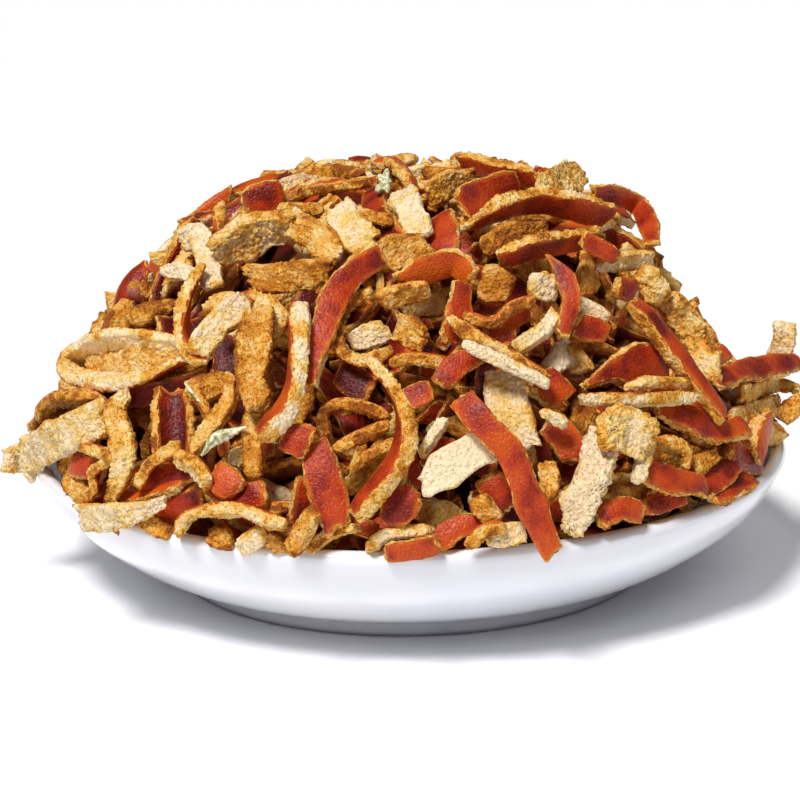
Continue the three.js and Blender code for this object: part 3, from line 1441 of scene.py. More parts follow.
@dataclass(frozen=True)
class PeelFinish:
    """The finish of dried peel: red rind, a golden line under it, and porous pale pith.

    The mesh carries what the finish reads: "depth" under the rind and "edge" from the strip's
    edge in millimetres, "crease" between the pith's lumps, where the pith is browned as painted
    shade, and "shade", the strip's tones, darkened as painted shade on deep and hidden strips.
    """

    bright_rind: tuple[float, ...] = colour(208, 88, 12)
    red_rind: tuple[float, ...] = colour(178, 54, 16)
    dark_rind: tuple[float, ...] = colour(124, 26, 14)
    darkest_rind_and_shade: tuple[float, ...] = colour(88, 18, 12)
    # The darkest rind: a real dark tone, and also painted shade for deep, hidden and shadowed strips.
    rind_speck: tuple[float, ...] = colour(214, 128, 84)
    orange_edge: tuple[float, ...] = colour(218, 108, 18)
    gold_line: tuple[float, ...] = colour(238, 172, 76)
    white_pith: tuple[float, ...] = colour(254, 231, 190)
    cream_pith: tuple[float, ...] = colour(250, 212, 126)
    tan_pith: tuple[float, ...] = colour(230, 158, 44)
    # The brown end of the pith also serves as painted shade on deep and hidden strips.
    brown_pith: tuple[float, ...] = colour(146, 78, 20)
    # Painted shade: the brown that fills the pith's creases.
    crease_shade_brown: tuple[float, ...] = colour(186, 98, 18)
    pore_brown: tuple[float, ...] = colour(104, 40, 4)

    def material(self) -> bpy.types.Material:
        """Makes the material.

        Returns:
            The material for every strip.
        """
        book = NodeBook("dried_peel")
        depth = book.attribute("depth")
        edge = book.attribute("edge")
        crease = book.attribute("crease")
        rind_tone, pith_tone, pores = book.split(book.attribute("shade", True))
        broad = book.noise(5.0, 2.0)
        middling = book.noise(1.6, 3.0)
        fine = book.noise(0.4, 2.0)
        crumb = book.cells(0.8)
        pit = book.cells(0.5)

        bare = book.times(book.spread(edge, 0.4, 0.0), book.spread(middling, 0.4, 0.6, 0.0, 0.5))
        skin = book.add(book.add(depth, book.waver(middling, 0.15)), bare)
        is_pith = book.spread(skin, 0.12, 0.4)
        rind = self.rind_colour(book, rind_tone, edge, broad, middling, fine, pit)
        pith = self.pith_colour(book, pith_tone, edge, broad, middling, fine)
        # Painted shade: the pith is browned in the creases between its lumps, more so on porous strips.
        shaded_crease = book.times(book.spread(crease, 0.4, 0.95), book.spread(pores, 0.0, 1.0, 0.1, 0.55))
        pith = book.mix(shaded_crease, pith, self.crease_shade_brown)
        spotted = book.times(book.spread(pit, 0.34, 0.14), book.spread(middling, 0.47, 0.6))
        spotted = book.times(spotted, book.spread(pores, 0.0, 1.0, 0.07, 0.9))
        pith = book.mix(spotted, pith, self.pore_brown)
        body = book.mix(book.spread(skin, 0.45, 1.0), self.gold_line, pith)
        surface = book.mix(book.spread(skin, 0.15, 0.5), rind, body)
        book.link(surface, book.shader.inputs["Base Color"])

        gloss = book.add(book.spread(is_pith, 0.0, 1.0, 0.42, 0.8), book.waver(fine, 0.06))
        book.link(gloss, book.shader.inputs["Roughness"])
        dimples = book.spread(book.cells(0.6, True), 0.0, 0.5)
        smooth_side = book.add(book.times(dimples, 0.35), book.times(fine, 0.35))
        lumps = book.math("SUBTRACT", 1.0, crumb)
        spongy = book.times(book.spread(pit, 0.12, 0.34), 0.6)
        rough_side = book.add(book.add(lumps, spongy), book.times(fine, 0.5))
        height = book.choose(is_pith, smooth_side, rough_side)
        book.link(book.bump(height, 1.0, 0.34), book.shader.inputs["Normal"])
        book.shader.inputs["Specular IOR Level"].default_value = 0.3
        return book.material

    def rind_colour(self, book: NodeBook, tone: object, edge: object, *noises: object) -> object:
        """Colours the rind, with pale specks and a worn orange edge.

        Args:
            book: The material's nodes.
            tone: The strip's tone, from orange at 0 to darkest at 1; deep strips are pushed darker as
                painted shade.
            edge: Millimetres from the strip's edge.
            noises: The broad, middling and fine noise and the pits.

        Returns:
            The socket with the colour.
        """
        broad, middling, fine, pit = noises
        patches = book.spread(book.noise(9.0, 2.0), 0.34, 0.66, -0.3, 0.3)
        tone = book.add(book.add(tone, patches), book.waver(fine, 0.13), clamp=True)
        stops = (
            (0.0, self.bright_rind),
            (0.45, self.red_rind),
            (0.8, self.dark_rind),
            (1.0, self.darkest_rind_and_shade),
        )
        specks = book.times(book.spread(pit, 0.3, 0.1), book.spread(middling, 0.5, 0.66, 0.0, 0.55))
        rind = book.mix(specks, book.ramp(tone, stops), self.rind_speck)
        worn = book.times(book.spread(edge, 1.1, 0.0), book.spread(broad, 0.42, 0.62, 0.2, 0.85))
        return book.mix(worn, rind, self.orange_edge)

    def pith_colour(self, book: NodeBook, tone: object, edge: object, *noises: object) -> object:
        """Colours the pith between its pores, a little toasted at the edge.

        Args:
            book: The material's nodes.
            tone: The strip's tone, from white at 0 to brown at 1; deep strips are pushed browner as painted
                shade.
            edge: Millimetres from the strip's edge.
            noises: The broad, middling and fine noise.

        Returns:
            The socket with the colour.
        """
        broad, middling, fine = noises
        tone = book.add(book.add(tone, book.waver(broad, 0.2)), book.waver(middling, 0.14))
        toasted = book.times(book.spread(edge, 0.8, 0.0), book.spread(broad, 0.42, 0.62, 0.0, 0.3))
        tone = book.add(book.add(tone, toasted), book.waver(fine, 0.1), clamp=True)
        stops = (
            (0.0, self.white_pith),
            (0.3, self.cream_pith),
            (0.65, self.tan_pith),
            (1.0, self.brown_pith),
        )
        return book.ramp(tone, stops)


@dataclass(frozen=True)
class FibreFinish:
    """The finish of the stem end and the pale fibres: white, with streaks of green."""

    white: tuple[float, ...] = colour(246, 240, 206)
    green: tuple[float, ...] = colour(168, 172, 108)

    def material(self) -> bpy.types.Material:
        """Makes the material.

        Returns:
            The material of the fibres.
        """
        book = NodeBook("pale_fibre")
        streaks = book.spread(book.noise(0.9, 3.0), 0.4, 0.62)
        book.link(book.mix(streaks, self.white, self.green), book.shader.inputs["Base Color"])
        book.shader.inputs["Roughness"].default_value = 0.6
        book.link(book.bump(book.noise(0.5), 0.8, 0.2), book.shader.inputs["Normal"])
        return book.material


@dataclass(frozen=True)
class CoreFinish:
    """Near-black painted shade standing in for the unlit peel deep in the heap."""

    dark: tuple[float, ...] = colour(26, 8, 4)
    warm: tuple[float, ...] = colour(60, 22, 8)

    def material(self) -> bpy.types.Material:
        """Makes the material.

        Returns:
            The material of the core.
        """
        book = NodeBook("painted_shade_core")
        patches = book.spread(book.noise(4.0), 0.4, 0.65)
        # Painted shade: near-black and dark brown patches stand in for the shadow deep in the heap.
        book.link(book.mix(patches, self.dark, self.warm), book.shader.inputs["Base Color"])
        book.shader.inputs["Roughness"].default_value = 0.9
        book.link(book.bump(book.noise(2.0), 1.0, 1.5), book.shader.inputs["Normal"])
        return book.material


@dataclass(frozen=True)
class PorcelainFinish:
    """Thick white glaze with a faint blue cast, over a slightly greyer foot."""

    glaze: tuple[float, ...] = colour(249, 249, 255)
    thin_glaze: tuple[float, ...] = colour(242, 243, 252)
    bare_foot: tuple[float, ...] = colour(214, 213, 218)

    def material(self) -> bpy.types.Material:
        """Makes the material.

        Returns:
            The material of the dish.
        """
        book = NodeBook("white_glaze")
        height = book.split(book.place)[2]
        pool = book.spread(book.noise(26.0, 2.0), 0.35, 0.65)
        glaze = book.mix(pool, self.glaze, self.thin_glaze)
        foot = book.spread(height, 1.2 * MM, 0.5 * MM)
        book.link(book.mix(foot, glaze, self.bare_foot), book.shader.inputs["Base Color"])
        gloss = book.add(book.spread(foot, 0.0, 1.0, 0.12, 0.6), book.spread(pool, 0.0, 1.0, 0.0, 0.05))
        book.link(gloss, book.shader.inputs["Roughness"])
        book.link(book.bump(book.noise(9.0, 2.0), 0.12, 0.25), book.shader.inputs["Normal"])
        book.shader.inputs["Coat Weight"].default_value = 0.5
        book.shader.inputs["Coat Roughness"].default_value = 0.06
        return book.material


@dataclass
class PorcelainDish:
    """The dish: a turned shell on a foot ring.

    Attributes:
        radius: To the outside of the lip.
        height: To the top of the lip.
        wall: The wall's thickness at the lip.
        foot: The foot ring's outer radius.
        foot_height: From the table to the belly.
        foot_width: The ring's width.
        recess: The height of the dish's underside inside the ring.
        floor: The floor's thickness.
        turns: How many faces go round.
    """

    radius: float
    height: float
    wall: float = 3.2
    foot: float = 47.2
    foot_height: float = 3.0
    foot_width: float = 3.0
    recess: float = 1.8
    floor: float = 3.4
    turns: int = 160

    @classmethod
    def from_frame(cls) -> "PorcelainDish":
        """Reads the dish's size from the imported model.

        Returns:
            The dish that fits it.
        """
        low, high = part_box("dish")
        return cls((high[0] - low[0]) / 2 / MM, high[2] / MM)

    def outline(self) -> Array:
        """Draws half of the dish's section.

        Returns:
            Points of radius and height, from the axis underneath round to the axis inside.
        """
        r, h, inside = self.radius, self.height, self.foot - self.foot_width
        under = [
            (0.0, self.recess),
            (inside - 2.0, self.recess),
            (inside - 0.9, self.recess - 0.25),
            (inside - 0.2, 0.5),
            (inside + 0.3, 0.05),
            (inside + 1.0, 0.0),
            (self.foot - 0.8, 0.0),
            (self.foot - 0.2, 0.2),
            (self.foot, 0.8),
            (self.foot + 0.05, self.foot_height - 1.0),
            (self.foot + 0.6, self.foot_height - 0.2),
        ]
        belly = [
            (self.foot + 2.2, self.foot_height + 0.55),
            (0.77 * r, 0.27 * h),
            (0.9 * r, 0.53 * h),
            (0.968 * r, 0.75 * h),
            (r, h - self.wall / 2),
        ]
        well = [
            (r - self.wall, h - self.wall / 2),
            (0.91 * r, 0.72 * h),
            (0.8 * r, 0.47 * h),
            (0.62 * r, 0.29 * h),
            (0.4 * r, self.recess + self.floor),
            (0.0, self.recess + self.floor),
        ]
        turn = np.linspace(0.0, math.pi, 11)[1:-1]
        half = self.wall / 2
        lip = np.column_stack([r - half + half * np.cos(turn), h - half + half * np.sin(turn)])
        return np.vstack([under, through(np.array(belly), 26), lip, through(np.array(well), 30)])

    def build(self) -> bpy.types.Object:
        """Turns the dish.

        Returns:
            The dish.
        """
        mesh = bmesh.new()
        verts = [mesh.verts.new((x * MM, 0.0, z * MM)) for x, z in self.outline()]
        edges = [mesh.edges.new(pair) for pair in zip(verts, verts[1:])]
        bmesh.ops.spin(
            mesh,
            geom=verts + edges,
            cent=(0.0, 0.0, 0.0),
            axis=(0.0, 0.0, 1.0),
            angle=2.0 * math.pi,
            steps=self.turns,
            use_merge=True,
        )
        bmesh.ops.remove_doubles(mesh, verts=mesh.verts, dist=1e-6)
        bmesh.ops.recalc_face_normals(mesh, faces=mesh.faces)
        for face in mesh.faces:
            face.smooth = True
        piece = add_piece("porcelain_dish", mesh, PorcelainFinish().material())
        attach(piece, "root")
        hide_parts("dish")
        return piece


@dataclass
class HeapCore:
    """The middle of the heap, which strips lie on, coloured near-black as painted shade.

    Attributes:
        shape: The heap's outline.
        cover: How deep it lies under the outline.
        lumps: How high its lumps are.
    """

    shape: HeapShape
    cover: float = 14.0
    lumps: float = 1.6

    def build(self, grain: Grain) -> bpy.types.Object:
        """Makes the core from a ball of triangles.

        Args:
            grain: The noise that roughens it.

        Returns:
            The core.
        """
        mesh = bmesh.new()
        bmesh.ops.create_icosphere(mesh, subdivisions=5, radius=1.0)
        ways = np.array([v.co[:] for v in mesh.verts])
        up = ways.copy()
        up[:, 2] = np.maximum(up[:, 2], 0.0)
        reach = self.shape.reach(unit(up)) - self.cover
        reach += self.lumps * (grain.smooth(ways * 60.0, 7.0) + 0.6 * grain.smooth(ways * 60.0, 2.6))
        points = ways * reach[:, None]
        down = ways[:, 2] < 0.0
        points[down, 2] *= 0.27
        flat = 1.0 + 0.09 * blend(0.0, -0.25, ways[:, 2])
        points[:, :2] *= flat[:, None]
        points[:, 2] += self.shape.rim_height - 2.0
        for vert, point in zip(mesh.verts, points):
            vert.co = Vector(point) * MM
        return add_piece("heap_core", mesh, CoreFinish().material())


LEFT_FLANK: tuple[Laid, ...] = (
    Laid(
        ((-45, 44), (-56, 46), (-65, 44.5), (-68, 42), (-65, 39), (-56, 38), (-44, 42)),
        7, (-145, -140, -110, -80), Shade.CREAM, (1, 2),
    ),
    Laid(((-64, 41), (-55, 41), (-46, 43)), 6.5, (180,), Shade.YELLOW, (-1,)),
    # Painted shade: the strip under the loop is darkened to stand in for its shadow.
    Laid(((-66, 35), (-54, 35.5), (-41, 38)), 5, (-20,), Shade.PAINTED_SHADE, (0,)),
    Laid(((-73, 29.5), (-62, 31)), 6, (150,), Shade.BROWN, (-1,)),
    Laid(((-70, 22.5), (-64, 18)), 6, (160,), Shade.TAN, (-1,)),
    Laid(((-68, 17.5), (-62, 15)), 6, (10,), Shade.RED, (-1,)),
    Laid(((-74, 31), (-70.5, 34.5), (-64, 34.5), (-60, 33)), 7.5, (110,), Shade.TAN, (1,), knob=0.5),
    Laid(
        ((-61, 31.5), (-70, 27.5), (-78, 23.5), (-82, 23)),
        7.5, (180,), Shade.CREAM, (2, 3), ends=(0.9, 0.6), knob=0.6,
    ),
    Laid(((-77, 25), (-76.5, 18.5)), 3.5, (180,), Shade.CREAM, (2,), ends=(0.9, 0.4)),
    Laid(((-69, 19.5), (-64.5, 13.5)), 5, (150,), Shade.TAN, (0,), knob=0.5),
    Laid(((-63, 14), (-58, 8.5)), 4.5, (20,), Shade.BURGUNDY, (0,)),
    Laid(((-68, 22), (-62, 20)), 5.5, (0,), Shade.RED, (1,)),
    Laid(((-65.5, 25), (-60, 23), (-64, 20), (-64, 16.5), (-66.5, 14.5)), 3, (90,), Shade.YELLOW, (3,)),
    Laid(
        ((-57, 35.5), (-59, 32), (-57.5, 24.5), (-58.5, 18.5), (-60, 15)),
        4.6, (165,), Shade.YELLOW, (4,), thick=3, ends=(0.6, 0.5), knob=0.6,
    ),
    # Painted shade: the curled channel is darkened to stand in for the shade inside it.
    Laid(((-47.5, 22), (-47.5, 28.5), (-47.5, 35.5)), 9, (0,), Shade.PAINTED_SHADE, (2,), cup=-2.2),
    Laid(((-43.5, 35.5), (-37, 37), (-34, 34.5)), 5, (180,), Shade.TAN, (2,), knob=0.5),
    Laid(((-42.5, 35.5), (-40, 30)), 2, (180,), Shade.TAN, (2,)),
    Laid(((-35.5, 37.5), (-36, 33.5), (-39.5, 28.5), (-43.5, 23.5)), 3.3, (150,), Shade.YELLOW, (4,)),
    Laid(((-46.5, 24.5), (-52, 21.5), (-55, 17)), 3.3, (90,), Shade.YELLOW, (3,)),
    Laid(((-46.5, 22.5), (-43, 20), (-40.5, 16.5)), 3.2, (120,), Shade.YELLOW, (3,)),
    Laid(((-39.5, 19), (-35, 15)), 5, (0,), Shade.RED, (2,)),
    Laid(
        ((-66.5, 11), (-60, 11), (-54, 12), (-50, 13.5)),
        5.2, (160,), Shade.CREAM, (3, 3), ends=(0.9, 0.4), knob=0.5, taper=0.6,
    ),
    Laid(((-61, 14.5), (-53, 15), (-45, 18)), 4.5, (60,), Shade.ORANGE, (3,), ends=(0.6, 0.6)),
    Laid(((-56, 15), (-50, 17.5), (-44, 20)), 5, (20,), Shade.RED, (2,)),
    Laid(((-52, 10.5), (-42, 14.5)), 5, (-10,), Shade.BURGUNDY, (0,)),
    Laid(((-55, 11), (-49, 7)), 4, (170,), Shade.TAN, (1,)),
    Laid(
        ((-47.5, 7), (-45, 10.5), (-41, 11.5), (-35, 11.5), (-29.5, 9.5), (-25, 8)),
        5, (95,), Shade.YELLOW, (4,),
    ),
    Laid(((-41, 17.5), (-34, 14), (-29.5, 14.5)), 5.5, (10,), Shade.RED, (2,)),
    Laid(((-38, 13.5), (-29.5, 11.5), (-23.5, 12)), 3, (90,), Shade.TAN, (2,)),
    Laid(((-30.5, 33), (-31.5, 26.5), (-31.5, 18.5)), 4, (170,), Shade.TAN, (1,), knob=0.5),
    Laid(((-36, 22), (-30, 22.5)), 4, (160,), Shade.YELLOW, (1,)),
    Laid(((-40.5, 6.5), (-36.5, 5)), 4, (170,), Shade.TAN, (1,)),
    Laid(((-34.5, 3.5), (-30, 6.5)), 4, (170,), Shade.CREAM, (2,)),
    Laid(((-29.5, 6.5), (-25.5, 3)), 4, (150,), Shade.TAN, (2,)),
)

CROWN_LEFT: tuple[Laid, ...] = (
    Laid(
        ((-29.5, 52), (-30.5, 44.5), (-31.5, 37.5), (-29.5, 33)),
        6, (180,), Shade.TAN, (4,), thick=3, knob=0.6,
    ),
    Laid(((-31, 53), (-24.5, 48.5)), 6, (170,), Shade.CREAM, (4,), knob=0.8),
    Laid(((-32, 53.5), (-37.5, 49.5), (-42.5, 43.5)), 5.5, (180,), Shade.CREAM, (5,)),
    Laid(((-31.5, 53), (-36, 54), (-39.5, 52)), 3, (150,), Shade.YELLOW, (4,)),
    Laid(
        ((-41, 60.5), (-44, 55), (-45, 47.5), (-42.5, 42.5), (-39, 42.5)),
        4.5, (90, 70), Shade.CREAM, (4,),
    ),
    Laid(
        ((-48.5, 60.5), (-44.5, 60), (-41, 58.5)),
        3.5, (180,), Shade.WHITE, (2,), ends=(0.3, 0.8), knob=0.6,
    ),
    Laid(((-44, 66.5), (-41, 67.5), (-39.5, 63), (-38.5, 57)), 5, (180,), Shade.CREAM, (2,), knob=0.5),
    Laid(((-37.5, 64), (-29.5, 67.5), (-21.5, 68.5)), 8, (150,), Shade.YELLOW, (3,), thick=3.4, knob=0.9),
    Laid(((-22.5, 69.5), (-16.5, 66), (-13.5, 61.5)), 6, (170,), Shade.YELLOW, (3,), knob=0.7),
    Laid(((-31.5, 58.5), (-23.5, 58), (-14.5, 59.5)), 6, (170,), Shade.TAN, (3,), thick=3.5, knob=0.6),
    Laid(((-12.5, 72), (-10.5, 68), (-7, 64)), 7, (180,), Shade.CREAM, (3,), knob=0.5),
    Laid(((-8.5, 70.5), (-1.5, 69)), 2.5, (180,), Shade.TAN, (3,)),
    Laid(((-24, 74), (-17.5, 76), (-6.5, 77)), 3.2, (100,), Shade.TAN, (1,)),
    Laid(((-24.5, 72), (-15.5, 71.5)), 3, (120,), Shade.YELLOW, (2,)),
    Laid(((-31.5, 73.5), (-24, 75.5)), 6, (0,), Shade.BURGUNDY, (3,), thick=3),
    Laid(((-4.5, 80.5), (-1.5, 81), (1.5, 78), (2.5, 75)), 5, (80,), Shade.ORANGE, (2,)),
    Laid(((-5.5, 75), (-4.5, 70), (-0.5, 65)), 5, (-20,), Shade.BURGUNDY, (2,)),
    Laid(((0.5, 75), (2, 71), (4, 66)), 6, (180,), Shade.CREAM, (3,)),
    Laid(((6, 74), (10, 76), (15, 76.5)), 6, (170,), Shade.TAN, (1,)),
    Laid(((-4.5, 62), (5, 64)), 7, (180,), Shade.TAN, (2,), knob=0.6),
    Laid(
        ((-3.5, 62.5), (-9, 59.5), (-13.5, 54.5), (-16, 48), (-18, 41), (-19, 36)),
        5.8, (20, 10, 0, -20, -30), Shade.RED, (5,), ends=(0.9, 0.4), taper=0.5,
    ),
    Laid(
        ((-21.2, 52.5), (-21.6, 45), (-22.5, 37), (-25, 31), (-29.5, 26.3)),
        4.4, (-94, -86, -74, -66), Shade.CREAM, (7.5,), thick=3.7, ends=(0.8, 0.8),
    ),
)

MIDDLE: tuple[Laid, ...] = (
    Laid(
        ((-7, 55), (-11.5, 52), (-14, 47), (-12.5, 42.5), (-8, 40.5), (-3, 42.5)),
        4.5, (-90,), Shade.ORANGE, (3,),
    ),
    Laid(((-11, 44.5), (-3.5, 47)), 5, (180,), Shade.CREAM, (1,)),
    Laid(((-4.5, 53), (5, 55)), 4, (150,), Shade.TAN, (2,)),
    Laid(((-1.5, 47.5), (4, 44.5)), 6, (175,), Shade.TAN, (2,), knob=0.8),
    # Painted shade: a sunk strip darkened to stand in for the shade of its hollow.
    Laid(((-13.5, 39), (-8, 34)), 6, (0,), Shade.PAINTED_SHADE, (-2,)),
    Laid(((-14.5, 23), (-10.5, 25), (-4, 27.5)), 2.8, (100,), Shade.TAN, (2,)),
    Laid(((-16.5, 25), (-17, 30), (-14, 32), (-9, 31.5), (-3.5, 29)), 3, (100,), Shade.TAN, (2,), knob=0.5),
    Laid(((-19, 25), (-17.5, 17.5), (-15.5, 11), (-15, 7)), 7, (0,), Shade.RED, (4,)),
    Laid(((-25, 26), (-20, 24.5)), 6.5, (0,), Shade.BURGUNDY, (6,), thick=1.6),
    Laid(((-21, 17.5), (-23, 7)), 4, (30,), Shade.BURGUNDY, (1,)),
    Laid(((-19.5, 10.5), (-22, 6), (-24, 2.5)), 3.8, (150,), Shade.TAN, (4,), knob=0.6),
    Laid(
        ((-6.5, 40), (-3, 35.5), (-0.5, 28.5), (-1.5, 21.5), (-6.5, 14.5), (-11.5, 9.5)),
        5, (-100, -80, -60, -65), Shade.RED, (5,), thick=3,
    ),
    Laid(((-5.5, 11), (1.5, 11)), 8, (0,), Shade.RED, (4,), ends=(0.6, 0.6)),
    Laid(((0, 21.5), (1, 14.5)), 3, (30,), Shade.BURGUNDY, (3,)),
    Laid(((0.5, 28.5), (-0.5, 22.5), (-2, 15.5)), 1.8, (150,), Shade.CREAM, (4,)),
    Laid(((-20.5, 3), (-16.5, 6), (-11, 7)), 3.5, (100,), Shade.YELLOW, (4,)),
    Laid(((-8.5, 3), (-4.5, 5.5), (4, 6)), 3.5, (100,), Shade.CREAM, (4,)),
    Laid(((-5.5, 1.5), (5, 3)), 4, (-20,), Shade.RED, (2,)),
    Laid(((5, 2.5), (9, 6), (14.5, 7)), 5, (10,), Shade.BURGUNDY, (3,)),
    Laid(((11.5, 2.5), (15, 5.5), (19, 6)), 2.2, (90,), Shade.YELLOW, (4,)),
    Laid(((15.5, 4), (23, 5)), 4.5, (170,), Shade.CREAM, (4,)),
    Laid(((13.5, 12), (17, 7)), 4.5, (170,), Shade.TAN, (3,)),
    Laid(((16, 16), (20, 10)), 6, (0,), Shade.BURGUNDY, (3,)),
    Laid(((-0.5, 56), (5, 59), (10.5, 60), (14, 57)), 5.5, (-25,), Shade.ORANGE, (3,)),
    Laid(((8, 69.5), (8.5, 65), (8, 60.5)), 6.5, (-25,), Shade.RED, (3,)),
    Laid(((12, 55.5), (11.5, 52), (10.5, 47.5), (8, 45.5)), 5, (25,), Shade.RED, (4,)),
    Laid(
        ((9.5, 48.5), (16, 43.5), (23, 39), (28.5, 35.5)),
        5, (100,), Shade.YELLOW, (6,), thick=3.2, knob=0.5,
    ),
    Laid(((12, 43.5), (28, 35)), 1.9, (160,), Shade.WHITE, (6,)),
    Laid(((-0.5, 32), (5, 34)), 5, (25,), Shade.RED, (2,)),
    Laid(((-3, 40), (1.5, 41), (10, 39.5)), 3.5, (90,), Shade.ORANGE, (2,)),
    Laid(((7, 35.5), (11, 39.5), (15, 41)), 4.5, (10,), Shade.BURGUNDY, (2,)),
    Laid(((7.5, 28), (5, 24.5), (3, 21.5)), 2.2, (150,), Shade.CREAM, (3,)),
    Laid(((8, 24.5), (4, 18.5)), 4, (0,), Shade.BURGUNDY, (0,)),
    Laid(((-9, 20.5), (-2.5, 23.5)), 3, (120,), Shade.TAN, (1,)),
    Laid(((-12.5, 8), (-7, 6)), 4, (0,), Shade.BURGUNDY, (2,)),
    Laid(((20, 37.5), (20.5, 30.5), (23.5, 22)), 8.5, (180,), Shade.CREAM, (4,)),
    Laid(
        ((3, 14.5), (8, 18.5), (14, 22), (18.5, 24)),
        7.4, (180,), Shade.WHITE, (5,), ends=(0.6, 0.9), knob=0.0,
    ),
    Laid(
        ((11, 32.5), (15, 27.5), (20, 22), (22.5, 16.5), (25, 9), (28.5, 0.5)),
        5.5, (0,), Shade.RED, (6, 8, 7, 6, 7),
    ),
)

CROWN_RIGHT: tuple[Laid, ...] = (
    Laid(((30, 60.5), (33, 56), (34, 51), (32, 44.5)), 3.5, (10,), Shade.BURGUNDY, (4,), ends=(0.3, 0.8)),
    Laid(((31, 49), (28, 45.5), (23, 42.5)), 3.5, (170,), Shade.CREAM, (3,)),
    Laid(((26, 55), (31, 54)), 5, (180,), Shade.CREAM, (2,)),
    Laid(((16, 56), (22, 54)), 7, (180,), Shade.TAN, (2,)),
    Laid(((13, 49), (18, 47.5), (22, 50.5), (26.5, 52)), 3, (90,), Shade.TAN, (3,)),
    Laid(((17, 46), (25, 50)), 4, (-30,), Shade.RED, (1,)),
    Laid(((12.5, 81), (19, 79), (28.5, 76.5)), 4.5, (-40,), Shade.BURGUNDY, (3,)),
    Laid(((29.5, 73), (36.5, 77.5)), 8, (180,), Shade.YELLOW, (2,), ends=(0.8, 0.5), knob=0.7),
    Laid(((12.5, 70.5), (17, 74), (24, 75.5)), 7, (0,), Shade.RED, (2,)),
    Laid(((13.5, 67.5), (20, 70.5), (28, 72), (35, 70.5), (42.5, 68.5)), 6, (-80, -25), Shade.RED, (3,)),
    Laid(
        ((39, 73.5), (44.5, 72.5), (48.5, 70.5), (50.5, 66.5), (51, 62.5)),
        4, (-10,), Shade.BURGUNDY, (4,),
    ),
    Laid(((20, 60.5), (27, 62.5), (39.5, 64.5)), 5, (-50,), Shade.RED, (3,)),
    Laid(((37, 64), (43.5, 60)), 4, (0,), Shade.BURGUNDY, (3,)),
    Laid(((17, 63), (23, 65), (29, 66)), 5, (180,), Shade.BROWN, (2,)),
    Laid(((35, 51), (41, 47.5)), 3.5, (170,), Shade.CREAM, (2,)),
    Laid(((35, 46.5), (41, 44.5)), 5, (10,), Shade.RED, (2,)),
    Laid(((29, 37.5), (34, 42)), 4.5, (180,), Shade.WHITE, (2,), knob=0.6),
    Laid(((33, 41.5), (37, 37)), 4, (150,), Shade.YELLOW, (2,)),
    Laid(((27, 32.5), (32, 35.5)), 7, (0,), Shade.RED, (2,)),
    Laid(((28.5, 27), (32, 23.5), (34, 19.5)), 6, (5,), Shade.RED, (3,)),
    Laid(((27.5, 29), (32, 26.5)), 2, (160,), Shade.CREAM, (4,)),
    Laid(((28, 18.5), (28.5, 14.5), (27, 12)), 4, (170,), Shade.TAN, (2,)),
)

